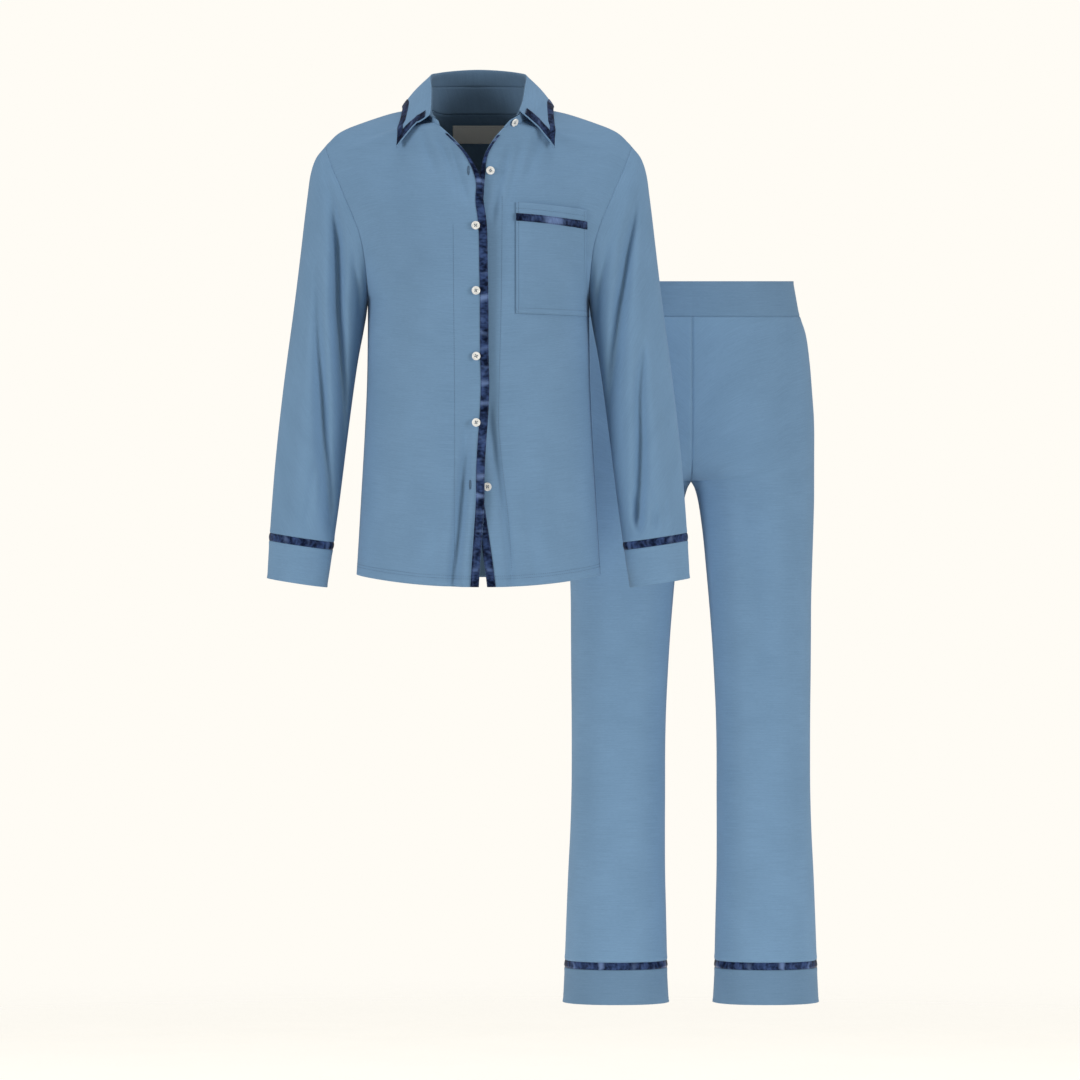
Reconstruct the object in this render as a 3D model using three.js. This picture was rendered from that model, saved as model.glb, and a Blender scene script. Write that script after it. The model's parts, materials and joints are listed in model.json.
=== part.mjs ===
import * as THREE from 'three';

// Pyjama set: a long-sleeved button-through top with the trousers hanging behind it and to its right.
// Both are filled out as if worn, hollow, with every opening left open.
// Millimetres. +X to the right, +Y away from the front, +Z up. Origin at the middle of the neck.

// Cloth and gaps
const WALL = 1.7; // jersey, seam allowances included
const TAPE_WALL = 1.0; // satin tape
const SEAM = 0.15; // each piece stops this far short of its seam line
const LAY = 0.35; // what lies on a panel is this far above it
const TAPE_PROUD = 0.4; // tape let in between two bands stands this far out
const BAND_WALL = 2.3; // waistband, with its inner layer

// Colours
const JERSEY = { color: 0x7393b0, roughness: 0.8, metalness: 0 };
const SATIN = { color: 0x283a6b, roughness: 0.35, metalness: 0 };
const SHELL_WHITE = { color: 0xf1f1ee, roughness: 0.25, metalness: 0 };
const LABEL_GREY = { color: 0x8c8780, roughness: 0.7, metalness: 0 };

// Small vector sums
const add = (a, b, k = 1) => [a[0] + b[0] * k, a[1] + b[1] * k, a[2] + b[2] * k];
const sub = (a, b) => add(a, b, -1);
const dot = (a, b) => a[0] * b[0] + a[1] * b[1] + a[2] * b[2];
const cross = (a, b) => [a[1] * b[2] - a[2] * b[1], a[2] * b[0] - a[0] * b[2], a[0] * b[1] - a[1] * b[0]];
const unit = (a) => {
  const length = Math.hypot(...a) || 1;
  return [a[0] / length, a[1] / length, a[2] / length];
};
const mix = (a, b, t) => a + (b - a) * t;
const mix3 = (a, b, t) => [mix(a[0], b[0], t), mix(a[1], b[1], t), mix(a[2], b[2], t)];
const step = (a, b, x) => {
  const t = Math.min(1, Math.max(0, (x - a) / (b - a)));
  return t * t * (3 - 2 * t);
};

// Smooth curve through a table: first column is the key, the others are interpolated.
function curve(columns, rows) {
  const slope = (i, c) => {
    const lo = rows[Math.max(i - 1, 0)];
    const hi = rows[Math.min(i + 1, rows.length - 1)];
    return (hi[c] - lo[c]) / (hi[0] - lo[0]);
  };
  return (key) => {
    let i = 0;
    while (i < rows.length - 2 && key > rows[i + 1][0]) i += 1;
    const span = rows[i + 1][0] - rows[i][0];
    const t = Math.min(1, Math.max(0, (key - rows[i][0]) / span));
    const out = {};
    columns.forEach((name, n) => {
      const c = n + 1;
      const a = rows[i][c];
      const b = rows[i + 1][c];
      const bend = (t - 2 * t * t + t * t * t) * slope(i, c) + (t * t * t - t * t) * slope(i + 1, c);
      out[name] = a + (b - a) * (3 * t * t - 2 * t * t * t) + bend * span;
    });
    return out;
  };
}

// Long folds: each runs from its top to its foot with a sideways bow; depth above 0 is a valley.
function foldShift(folds, x, z) {
  let sum = 0;
  for (const f of folds) {
    const t = (f.topZ - z) / (f.topZ - f.footZ);
    if (t < -0.2 || t > 1.2) continue;
    const line = mix(f.topX, f.footX, t) + f.bow * 4 * t * (1 - t);
    const fade = step(-0.2, 0.1, t) * (1 - step(0.85, 1.2, t));
    sum += f.depth * fade * Math.exp(-(((x - line) / f.width) ** 2));
  }
  return sum;
}

// A grid of points with a facing side. Rows run up the piece, columns across it.
function makeGrid(rows, cols, point, wrap = false) {
  const P = [];
  for (let i = 0; i <= rows; i += 1) {
    P.push([]);
    for (let j = 0; j < (wrap ? cols : cols + 1); j += 1) P[i].push(point(i, j));
  }
  return { P, wrap, N: null, M: null };
}

// Normals from the neighbours of each point, turned so that they face away from the given middle.
function faceOut(grid, middle) {
  const { P, wrap } = grid;
  const last = P.length - 1;
  const width = P[0].length;
  let agree = 0;
  grid.N = P.map((row, i) => row.map((p, j) => {
    const left = wrap ? row[(j + width - 1) % width] : row[Math.max(j - 1, 0)];
    const right = wrap ? row[(j + 1) % width] : row[Math.min(j + 1, width - 1)];
    const up = P[Math.min(i + 1, last)][j];
    const down = P[Math.max(i - 1, 0)][j];
    const n = unit(cross(sub(right, left), sub(up, down)));
    agree += dot(n, sub(p, middle(i, p))) > 0 ? 1 : -1;
    return n;
  }));
  if (agree < 0) grid.N = grid.N.map((row) => row.map((n) => [-n[0], -n[1], -n[2]]));
  grid.M = grid.N.map((row) => row.map(() => 1));
  return grid;
}

// Where edges of several grids meet, they share one mitred normal, so their walls end on one plane.
function joinSeams(grids) {
  const meet = new Map();
  const visit = (act) => grids.forEach((g) => g.P.forEach((row, i) => row.forEach((p, j) => {
    const edge = i === 0 || i === g.P.length - 1 || (!g.wrap && (j === 0 || j === row.length - 1));
    if (edge) act(g, i, j, p.map((v) => Math.round(v * 20)).join(' '));
  })));
  visit((g, i, j, key) => {
    const sum = meet.get(key) || [0, 0, 0];
    const share = g.twice && g.twice(i, j) ? 2 : 1;
    meet.set(key, add(sum, g.N[i][j], share));
  });
  visit((g, i, j, key) => {
    const sum = meet.get(key);
    const n = Math.hypot(...sum) > 0.6 ? unit(sum) : [0, 0, -1];
    g.M[i][j] = 1 / Math.max(0.5, Math.abs(dot(n, g.N[i][j])));
    g.N[i][j] = n;
  });
}

// Pull the edge rows and columns back from the seam line.
function trim(grid, gap = SEAM) {
  const { P, wrap } = grid;
  const last = P.length - 1;
  const width = P[0].length;
  const towards = (a, b) => unit(sub(b, a));
  const moved = P.map((row, i) => row.map((p, j) => {
    let q = p;
    if (i === 0) q = add(q, towards(p, P[1][j]), gap);
    if (i === last) q = add(q, towards(p, P[last - 1][j]), gap);
    if (!wrap && j === 0) q = add(q, towards(p, row[1]), gap);
    if (!wrap && j === width - 1) q = add(q, towards(p, row[width - 2]), gap);
    return q;
  }));
  grid.P = moved;
  return grid;
}

// Closed wall between two offsets of a grid.
function wallGeometry(grid, low, high) {
  const { P, N, M, wrap } = grid;
  const rows = P.length;
  const cols = P[0].length;
  const xyz = [];
  for (const offset of [high, low]) {
    P.forEach((row, i) => row.forEach((p, j) => {
      const reach = offset < 0 ? offset * M[i][j] : offset;
      xyz.push(...add(p, N[i][j], reach));
    }));
  }
  const id = (layer, i, j) => layer * rows * cols + i * cols + (j % cols);
  const faces = [];
  const quad = (a, b, c, d) => faces.push(a, b, c, a, c, d);
  // A rim between outer a, inner a, inner b and outer b, split from its lower outer end
  const rim = (oa, ia, ib, ob) => {
    const rise = xyz[ob * 3 + 2] - xyz[oa * 3 + 2];
    const run = Math.abs(rise) > 0.5 ? rise : xyz[ob * 3] - xyz[oa * 3];
    if (run > 0) faces.push(oa, ia, ib, oa, ib, ob);
    else faces.push(oa, ia, ob, ia, ib, ob);
  };
  const spans = wrap ? cols : cols - 1;
  for (let i = 0; i < rows - 1; i += 1) {
    for (let j = 0; j < spans; j += 1) {
      quad(id(0, i, j), id(0, i, j + 1), id(0, i + 1, j + 1), id(0, i + 1, j));
      quad(id(1, i, j), id(1, i + 1, j), id(1, i + 1, j + 1), id(1, i, j + 1));
    }
  }
  for (let j = 0; j < spans; j += 1) {
    rim(id(0, 0, j), id(1, 0, j), id(1, 0, j + 1), id(0, 0, j + 1));
    rim(id(0, rows - 1, j + 1), id(1, rows - 1, j + 1), id(1, rows - 1, j), id(0, rows - 1, j));
  }
  if (!wrap) {
    for (let i = 0; i < rows - 1; i += 1) {
      rim(id(0, i + 1, 0), id(1, i + 1, 0), id(1, i, 0), id(0, i, 0));
      rim(id(0, i, cols - 1), id(1, i, cols - 1), id(1, i + 1, cols - 1), id(0, i + 1, cols - 1));
    }
  }
  return closed(xyz, faces);
}

// Indexed geometry with its faces turned outwards.
function closed(xyz, faces) {
  let volume = 0;
  const at = (k) => [xyz[k * 3], xyz[k * 3 + 1], xyz[k * 3 + 2]];
  for (let f = 0; f < faces.length; f += 3) {
    volume += dot(at(faces[f]), cross(at(faces[f + 1]), at(faces[f + 2])));
  }
  if (volume < 0) faces.reverse();
  const geometry = new THREE.BufferGeometry();
  geometry.setAttribute('position', new THREE.Float32BufferAttribute(xyz, 3));
  geometry.setIndex(faces);
  geometry.computeVertexNormals();
  return geometry;
}

const set = new THREE.Group();
set.name = 'pyjama_set';

function place(name, geometry, look) {
  const mesh = new THREE.Mesh(geometry, new THREE.MeshStandardMaterial(look));
  mesh.name = name;
  set.add(mesh);
  return mesh;
}

// Point and normal of a grid at broken row and column numbers.
function sample(grid, row, col) {
  const i = Math.min(Math.floor(row), grid.P.length - 2);
  const j = Math.min(Math.floor(col), grid.P[0].length - 2);
  const u = col - j;
  const v = row - i;
  const blend = ([a, b, c, d]) => (u >= v
    ? add(add(a, sub(b, a), u), sub(c, b), v)
    : add(add(a, sub(d, a), v), sub(c, d), u));
  const corners = (A) => [A[i][j], A[i][j + 1], A[i + 1][j + 1], A[i + 1][j]];
  return { p: blend(corners(grid.P)), n: unit(blend(corners(grid.N))) };
}

// Grid of a piece that lies on another one, so that its wall needs no mitres
const layer = (P, N) => ({ P, N, M: N.map((row) => row.map(() => 1)), wrap: false });

// A piece that lies on a grid, on its own list of row and column numbers; lift is its underside.
function laidOn(grid, rowList, colLists, lift, thickness) {
  const P = [];
  const N = [];
  rowList.forEach((row, k) => {
    const cols = Array.isArray(colLists[0]) ? colLists[k] : colLists;
    const spots = cols.map((col) => sample(grid, row, col));
    P.push(spots.map((s) => add(s.p, s.n, lift)));
    N.push(spots.map((s) => s.n));
  });
  return wallGeometry(layer(P, N), 0, thickness);
}

// Body of the top
const SIDE_ROWS = 10; // hem to underarm
const ARM_ROWS = 12; // underarm to shoulder tip
const ROWS = SIDE_ROWS + ARM_ROWS;
const FRONT_COLS = 9; // front edge to side
const NECK_COLS = 3; // middle of the back to the neck end of the shoulder seam

// Side seam and armhole, mirrored for the other side. front and back are depths from the seam plane.
const sideLine = curve(['x', 'z', 'front', 'back'], [
  [0, 173.0, -657.5, 0, 0],
  [1, 170.5, -619, 0, 0],
  [3, 166.0, -542, 0, 0],
  [5, 161.5, -464.5, 0, 0],
  [7, 158.0, -387.5, 0, 0],
  [9, 156.8, -310.5, 0, 0],
  [10, 157.0, -272, 0, 0],
  [11, 157.4, -258, 23, 25],
  [12, 158.2, -238, 40, 43],
  [13, 160.2, -215, 51, 55],
  [14, 163.8, -191, 57, 61],
  [15, 169.8, -168, 58, 62],
  [16, 179.0, -145, 54, 58],
  [17, 188.6, -123, 46, 50],
  [18, 197.6, -102, 36, 40],
  [19, 205.0, -85, 26, 30],
  [20, 210.6, -70, 17, 20],
  [21, 214.6, -59, 8, 10],
  [22, 217.0, -50, 0, 0],
]);
const VENT = 4; // half the gap of the side vents at the hem

// Upper front (left in view): front edge from hem to neck, then the neck seam to the shoulder.
const upperEdge = curve(['x', 'y', 'z'], [
  [0, 1.2, -130, -675],
  [1, 3.6, -128, -634],
  [2, 6.5, -126, -593],
  [3, 9.2, -123, -552],
  [4, 9.6, -121, -511],
  [5, 11.6, -119, -470],
  [6, 14.6, -118, -429],
  [7, 16.0, -119, -388],
  [8, 15.2, -121, -347],
  [9, 15.0, -124, -306],
  [10, 14.9, -126, -265],
  [12, 14.0, -127, -221],
  [14, 13.3, -124, -175],
  [15, 11.4, -120, -151],
  [16, 7.8, -114, -127],
  [17, 4.2, -105, -97],
  [18, -16.5, -95, -60],
  [19, -55, -80, -22],
  [20, -66, -57, -16],
  [21, -74, -28, -4],
  [22, -76, 0, 5],
]);

// Under front (right in view): its edge passes behind the upper front and shows again at the hem.
const underEdge = curve(['x', 'y', 'z'], [
  [0, 12.8, -128, -675],
  [1, 8.2, -124.5, -634],
  [2, 2.2, -120.5, -593],
  [3, -3.4, -116.5, -552],
  [4, -8.5, -114, -511],
  [5, -12, -112.5, -470],
  [6, -13.5, -112, -429],
  [7, -14, -113, -388],
  [8, -14, -115, -347],
  [9, -14, -117.5, -306],
  [10, -14, -119, -265],
  [12, -13.5, -119, -221],
  [14, -11, -116, -175],
  [15, -8, -112, -151],
  [16, -4, -106, -127],
  [17, 1.5, -98, -97],
  [18, 10.5, -92, -60],
  [19, 37, -87, -25],
  [20, 60, -66, -18],
  [21, 73, -33, -6],
  [22, 76, 0, 5],
]);

// Middle of the back
const backLine = curve(['y', 'z'], [
  [0, 112, -665],
  [2, 108, -584],
  [4, 102, -504],
  [6, 99, -424],
  [8, 103, -344],
  [10, 110, -265],
  [13, 114, -198],
  [16, 109, -135],
  [19, 93, -76],
  [21, 72, -36],
  [22, 60, -17],
]);

// Neck seam across the back, from its middle to the shoulder seam
const backNeck = curve(['x', 'y', 'z'], [
  [0, 0, 60, -17],
  [1, 27, 57, -16.5],
  [2, 53, 43, -12.5],
  [3, 76, 0, 5],
]);

// Shoulder seam, neck end to tip
const shoulder = curve(['x', 'z'], [
  [0, 76, 5],
  [0.2, 104, 0.6],
  [0.35, 125, -4],
  [0.5, 146, -10.5],
  [0.65, 167, -17.8],
  [0.8, 188, -26],
  [0.9, 202, -34.5],
  [1, 217, -50],
]);

// Largest folds of the body, on the front face
const FRONT_FOLDS = [
  { topX: -17, topZ: -440, footX: -34, footZ: -668, bow: 3, depth: 4.5, width: 13 },
  { topX: 25, topZ: -395, footX: 48, footZ: -662, bow: -3, depth: 3.5, width: 13 },
  { topX: -92, topZ: -470, footX: -112, footZ: -660, bow: 0, depth: 3, width: 20 },
  { topX: 100, topZ: -440, footX: 122, footZ: -655, bow: 0, depth: 3, width: 20 },
];

// Largest folds of the body, on the back face
const BACK_FOLDS = [
  { topX: -40, topZ: -330, footX: -66, footZ: -650, bow: 5, depth: 6, width: 22 },
  { topX: 46, topZ: -360, footX: 60, footZ: -655, bow: -4, depth: 5, width: 24 },
  { topX: -120, topZ: -150, footX: -104, footZ: -330, bow: 6, depth: 4, width: 20 },
  { topX: 118, topZ: -140, footX: 106, footZ: -320, bow: -6, depth: 4, width: 20 },
];

const SECTION_POWER = 2.4; // roundness of the body sections

// Share of the way across and share of the depth, from rounded sections low down to flat ones at the chest.
function sectionShare(s, row, face) {
  const angle = (s * Math.PI) / 2;
  const flat = step(8.5, 15.5, row);
  const chest = face < 0 ? mix(2, 0.85, step(16, 19, row)) : 2;
  const across = Math.sin(angle) ** (2 / SECTION_POWER);
  const depth = Math.max(Math.cos(angle), 0) ** (2 / SECTION_POWER);
  return { across: mix(across, s, flat), depth: mix(depth, 1 - s ** chest, flat) };
}

// One half panel between a middle line and a side line, its top row led onto the top line.
function halfPanel(middleLine, side, face, top, topPull) {
  const base = (s, row) => {
    const m = middleLine(row);
    const e = sideLine(row);
    const share = sectionShare(s, row, face);
    const open = row < 1 ? VENT * (1 - row) : 0;
    const sideY = face < 0 ? -e.front - open : e.back + open;
    return [
      mix(m.x, e.x * side, share.across),
      mix(sideY, m.y, share.depth),
      mix(m.z, e.z, share.across ** 2),
    ];
  };
  return (s, row) => {
    const p = base(s, row);
    const pull = Math.max(0, (row - 14) / (ROWS - 14)) ** topPull;
    const q = pull > 0 ? add(p, sub(top(s), base(s, ROWS)), pull) : p;
    const folds = face < 0 ? FRONT_FOLDS : BACK_FOLDS;
    return [q[0], q[1] - face * foldShift(folds, q[0], q[2]), q[2]];
  };
}

const shoulderTop = (side) => (s) => {
  const at = shoulder(s);
  return [at.x * side, 0, at.z];
};
const NECK_SHARE = 0.35; // share of the half back that ends on the neck seam
const backTop = (side) => (s) => {
  if (s >= NECK_SHARE) return shoulderTop(side)((s - NECK_SHARE) / (1 - NECK_SHARE));
  const at = backNeck((s / NECK_SHARE) * NECK_COLS);
  return [at.x * side, at.y, at.z];
};
const backMiddle = (row) => ({ x: 0, ...backLine(row) });

const upperFront = halfPanel(upperEdge, -1, -1, shoulderTop(-1), 2);
const underFront = halfPanel(underEdge, 1, -1, shoulderTop(1), 2);
const backHalf = {
  left: halfPanel(backMiddle, -1, 1, backTop(-1), 3),
  right: halfPanel(backMiddle, 1, 1, backTop(1), 3),
};
const HALF_BACK = NECK_COLS + FRONT_COLS;
const backPoint = (row, j) => {
  const k = Math.abs(j - HALF_BACK);
  const s = k <= NECK_COLS
    ? (k / NECK_COLS) * NECK_SHARE
    : NECK_SHARE + ((k - NECK_COLS) / FRONT_COLS) * (1 - NECK_SHARE);
  return (j < HALF_BACK ? backHalf.left : backHalf.right)(s, row);
};

const bodyMiddle = (i, p) => [0, 0, p[2]];
const frontUpper = makeGrid(ROWS, FRONT_COLS, (i, j) => upperFront(j / FRONT_COLS, i));
const frontUnder = makeGrid(ROWS, FRONT_COLS, (i, j) => underFront(j / FRONT_COLS, i));
const back = makeGrid(ROWS, 2 * HALF_BACK, (i, j) => backPoint(i, j));
for (const grid of [frontUpper, frontUnder, back]) faceOut(grid, bodyMiddle);

// Sleeves of the top
const SLEEVE_ROWS = 15;
const CAP_ROWS = 7; // the armhole shape has died out by this row
const ARM_COLS = 2 * ARM_ROWS;

// Outer and inner edge of each ring as seen from the front, its half depth and its middle.
const sleeveRing = curve(['outerX', 'outerZ', 'innerX', 'innerZ', 'depth', 'y'], [
  [0, 217, -50, 157, -272, 58, 0],
  [1, 230.5, -67, 157.8, -279, 58, 0],
  [2, 238.3, -90, 158.6, -286, 58, 0],
  [3, 242.6, -120, 159.6, -293, 58, 0],
  [4, 247.2, -157, 160.8, -300, 58, 0],
  [5, 252.4, -202, 162.4, -309, 58.5, -1],
  [6, 258.4, -252, 164.6, -321, 58.5, -2],
  [7, 264.6, -300, 167.8, -337, 57.5, -3],
  [8, 270.2, -341, 171.8, -360, 55.5, -4.5],
  [9, 275.6, -382, 176.6, -393, 53, -6],
  [10, 280.6, -424, 181.8, -432, 50.5, -8],
  [11, 285.2, -466, 187.2, -474, 48, -10],
  [12, 289.2, -508, 192.6, -518, 46, -12],
  [13, 292.6, -550, 198.2, -562, 44.5, -13.5],
  [14, 294.8, -580, 202.6, -593, 43.5, -14.5],
  [15, 295.8, -598, 205.2, -611.5, 43, -15],
  [16, 296.8, -609, 206.8, -622.3, 43, -15.5],
  [17, 298.4, -636, 210.6, -649, 42.6, -16],
  [18, 299.8, -662.5, 214.8, -675.5, 42.2, -16.5],
]);

// Valleys down the front of the sleeves
const LEFT_SLEEVE_FOLDS = [
  { topX: -212, topZ: -95, footX: -200, footZ: -585, bow: 10, depth: 9, width: 13 },
  { topX: -226, topZ: -80, footX: -223, footZ: -585, bow: -3, depth: 3.5, width: 12 },
  { topX: -262, topZ: -330, footX: -282, footZ: -590, bow: 0, depth: 3, width: 12 },
];
const RIGHT_SLEEVE_FOLDS = [
  { topX: 222, topZ: -125, footX: 190, footZ: -372, bow: -2, depth: 9, width: 13 },
  { topX: 218, topZ: -395, footX: 224, footZ: -590, bow: 4, depth: 6.5, width: 14 },
  { topX: 238, topZ: -285, footX: 286, footZ: -530, bow: -2, depth: 4, width: 12 },
];

// Valleys down the back of both sleeves, given for the right
const SLEEVE_BACK_FOLDS = [
  { topX: 196, topZ: -190, footX: 222, footZ: -560, bow: 8, depth: 6, width: 15 },
  { topX: 236, topZ: -150, footX: 262, footZ: -470, bow: -4, depth: 4, width: 15 },
];

function armholePoint(side, m) {
  const front = m <= ARM_ROWS;
  const e = sideLine(SIDE_ROWS + (front ? m : ARM_COLS - m));
  return [e.x * side, front ? -e.front : e.back, e.z];
}

function sleevePoint(side, k, m) {
  const flatRing = (row) => {
    const r = sleeveRing(row);
    const angle = (2 * Math.PI * m) / ARM_COLS;
    const share = (1 - Math.cos(angle)) / 2;
    return [
      mix(r.innerX, r.outerX, share) * side,
      r.y - r.depth * Math.sin(angle),
      mix(r.innerZ, r.outerZ, share),
    ];
  };
  const p = flatRing(k);
  const keep = Math.max(0, 1 - k / CAP_ROWS) ** 2;
  const q = keep > 0 ? add(p, sub(armholePoint(side, m), flatRing(0)), keep) : p;
  const facing = Math.sin((2 * Math.PI * m) / ARM_COLS);
  const start = step(0, 3, k);
  const end = 1 - step(13.5, 15, k);
  if (facing > 0) {
    const folds = side < 0 ? LEFT_SLEEVE_FOLDS : RIGHT_SLEEVE_FOLDS;
    q[1] += foldShift(folds, q[0], q[2]) * Math.sqrt(facing) * start * end;
  } else {
    q[1] -= foldShift(SLEEVE_BACK_FOLDS, q[0] * side, q[2]) * Math.sqrt(-facing) * start * end;
  }
  return q;
}

const ringMiddle = (side) => (i, p, row = i) => {
  const r = sleeveRing(row);
  return [((r.innerX + r.outerX) / 2) * side, r.y, (r.innerZ + r.outerZ) / 2];
};
const tube = (side, first, last, rows) => {
  const at = (i) => mix(first, last, i / rows);
  const grid = makeGrid(rows, ARM_COLS, (i, j) => sleevePoint(side, at(i), j), true);
  return faceOut(grid, (i, p) => ringMiddle(side)(i, p, at(i)));
};
const arms = [-1, 1].map((side) => ({
  tag: side < 0 ? 'left' : 'right',
  sleeve: tube(side, 0, SLEEVE_ROWS, SLEEVE_ROWS),
  tape: tube(side, SLEEVE_ROWS, 16, 1),
  cuff: tube(side, 16, 18, 2),
}));

// Collar of the top
// Stations run from the left front end round the back to the right front end.
const COLLAR_STATIONS = 12;

// Top edge of the stand
const standLine = curve(['x', 'y', 'z'], [
  [0, -57, -83, -16],
  [1, -67, -57, -5],
  [2, -71, -27, 14],
  [3, -71, 5, 29],
  [4, -56, 44, 27],
  [5, -28, 60, 27],
  [6, 0, 64, 27],
  [7, 28, 60, 27],
  [8, 56, 44, 27],
  [9, 71, 5, 29],
  [10, 70, -31, 16],
  [11, 62, -61, -3],
  [12, 45, -88, -16],
]);

// roll is the top of the folded leaf, edge its free edge.
const collarLine = curve(['rollX', 'rollY', 'rollZ', 'edgeX', 'edgeY', 'edgeZ'], [
  [0, -67.5, -70, -5, -115.5, -71, -52.5],
  [1, -66.5, -50, 11, -112, -50, -23],
  [2, -66.5, -24, 31, -108, -22, 1],
  [3, -67.5, 8, 50, -107, 8, 5],
  [4, -56, 42, 55, -86, 54, -4],
  [5, -30, 60, 58.5, -48, 80, -12],
  [6, 0, 66, 60, 0, 86, -14],
  [7, 30, 60, 58.5, 48, 80, -12],
  [8, 56, 42, 55, 86, 54, -4],
  [9, 67.5, 8, 50, 106, 8, 5],
  [10, 66, -24, 34, 106.5, -22, 1],
  [11, 63, -48, 15, 107.5, -50, -24],
  [12, 58, -70, 0, 107.5, -71, -53.5],
]);
const LEAF_START = 0.4; // the leaf stops short of both ends of the stand
const LEAF_END = 11.45;
const ROLL_OUT = 3.6; // how far the leaf turns over
const ROLL_LIP = 0.8; // its highest line stands this far outside the stand
const ROLL_DROP = [3.2, 2.6]; // from that line down to the rows inside and outside it
const LEAF_CLEAR = [0.6, 2.2]; // foot of the leaf above the stand, at the back and at the ends
const LEAF_BULGE = 2.1; // crown of the leaf between roll and edge
const LEAF_REST = WALL + 2.9; // outer face of the leaf over the body

// Points of the neck seam that the panels end on, one for each station
const neckSpots = [
  ...[19, 20, 21, 22].map((row) => ({ grid: frontUpper, i: row, j: 0 })),
  ...[1, 2, 3, 4, 5].map((k) => ({ grid: back, i: ROWS, j: HALF_BACK - NECK_COLS + k })),
  ...[22, 21, 20, 19].map((row) => ({ grid: frontUnder, i: row, j: 0 })),
];
const neckPoint = (q) => {
  const k = Math.min(Math.floor(q), COLLAR_STATIONS - 1);
  const at = (s) => s.grid.P[s.i][s.j];
  return mix3(at(neckSpots[k]), at(neckSpots[k + 1]), q - k);
};
const standTop = (q) => {
  const c = standLine(q);
  return [c.x, c.y, c.z];
};

const STAND_ROWS = 2;
const stand = makeGrid(STAND_ROWS, 2 * COLLAR_STATIONS, (i, j) => (
  mix3(neckPoint(j / 2), standTop(j / 2), i / STAND_ROWS)
));
faceOut(stand, (i, p) => [0, 0, p[2]]);

// Facet of a grid under a spot given by x and z
function facetUnder(grid, x, z) {
  const { P, N } = grid;
  const area = (u, v, w) => (v[0] - u[0]) * (w[2] - u[2]) - (v[2] - u[2]) * (w[0] - u[0]);
  const spot = [x, 0, z];
  for (let i = 0; i < P.length - 1; i += 1) {
    for (let j = 0; j < P[0].length - 1; j += 1) {
      const corners = [P[i][j], P[i][j + 1], P[i + 1][j + 1], P[i + 1][j]];
      for (const [pa, pb, pc] of [corners.slice(0, 3), [corners[0], corners[2], corners[3]]]) {
        const whole = area(pa, pb, pc);
        const shares = [area(spot, pb, pc), area(pa, spot, pc), area(pa, pb, spot)].map((v) => v / whole);
        if (Math.min(...shares) >= -1e-6) {
          const p = add(add(add([0, 0, 0], pa, shares[0]), pb, shares[1]), pc, shares[2]);
          const n = unit(cross(sub(pb, pa), sub(pc, pa)));
          return { p, n: dot(n, N[i][j]) < 0 ? n.map((v) => -v) : n };
        }
      }
    }
  }
  return null;
}

// Lift a point off the front panels until it is clear of them
function clearOfFronts(p, gap) {
  if (p[1] > 0) return p;
  const at = facetUnder(p[0] < 0 ? frontUpper : frontUnder, p[0], p[2]);
  if (!at) return p;
  const short = gap - dot(sub(p, at.p), at.n);
  return short > 0 ? add(p, at.n, short) : p;
}

const outward = (c) => unit([c.edgeX - c.rollX, c.edgeY - c.rollY, 0]);
const LEAF_SHARES = [0.22, 0.45, 0.7, 1];
const leaf = makeGrid(4 + LEAF_SHARES.length, 2 * COLLAR_STATIONS, (i, j) => {
  const c = collarLine(j / 2);
  const out = outward(c);
  const roll = [c.rollX, c.rollY, c.rollZ];
  const q = mix(LEAF_START, LEAF_END, j / (2 * COLLAR_STATIONS));
  const clear = mix(...LEAF_CLEAR, step(3.5, 6, Math.abs(q - 6)));
  const foot = add(add(standTop(q), out, -WALL * 0.9), [0, 0, clear]);
  const inside = add(add(roll, out, -WALL), [0, 0, -ROLL_DROP[0]]);
  if (i === 0) return foot;
  if (i === 1) return mix3(foot, inside, 0.5);
  if (i === 2) return inside;
  if (i === 3) return add(roll, out, ROLL_LIP);
  const over = add(add(roll, out, ROLL_OUT), [0, 0, -ROLL_DROP[1]]);
  if (i === 4) return over;
  const t = LEAF_SHARES[i - 5];
  const bulge = LEAF_BULGE * Math.sin(Math.PI * t);
  const p = mix3(over, [c.edgeX, c.edgeY, c.edgeZ], t);
  return clearOfFronts(add(add(p, out, bulge), [0, 0, bulge]), LEAF_REST);
});
faceOut(leaf, (i, p) => [p[0] * 0.8, p[1] * 0.8, p[2] - 60]);

// A front and the back meet one sleeve at the underarm and at the shoulder tip
for (const arm of arms) arm.sleeve.twice = (i, j) => i === 0 && (j === 0 || j === ARM_ROWS);
joinSeams([frontUpper, frontUnder, back, ...arms.flatMap((a) => [a.sleeve, a.tape, a.cuff]), stand]);

// Bring everything of the top into place as walls
place('front_upper', wallGeometry(trim(frontUpper), -WALL, 0), JERSEY);
place('front_under', wallGeometry(trim(frontUnder), -WALL, 0), JERSEY);
place('back', wallGeometry(trim(back), -WALL, 0), JERSEY);
for (const arm of arms) {
  place(`sleeve_${arm.tag}`, wallGeometry(trim(arm.sleeve), -WALL, 0), JERSEY);
  place(`cuff_tape_${arm.tag}`, wallGeometry(trim(arm.tape), -WALL, TAPE_PROUD), SATIN);
  place(`cuff_${arm.tag}`, wallGeometry(trim(arm.cuff), -WALL, 0), JERSEY);
}
place('collar_stand', wallGeometry(trim(stand), -WALL, 0), JERSEY);
place('collar_leaf', wallGeometry(trim(leaf), -WALL, 0), JERSEY);

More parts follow.
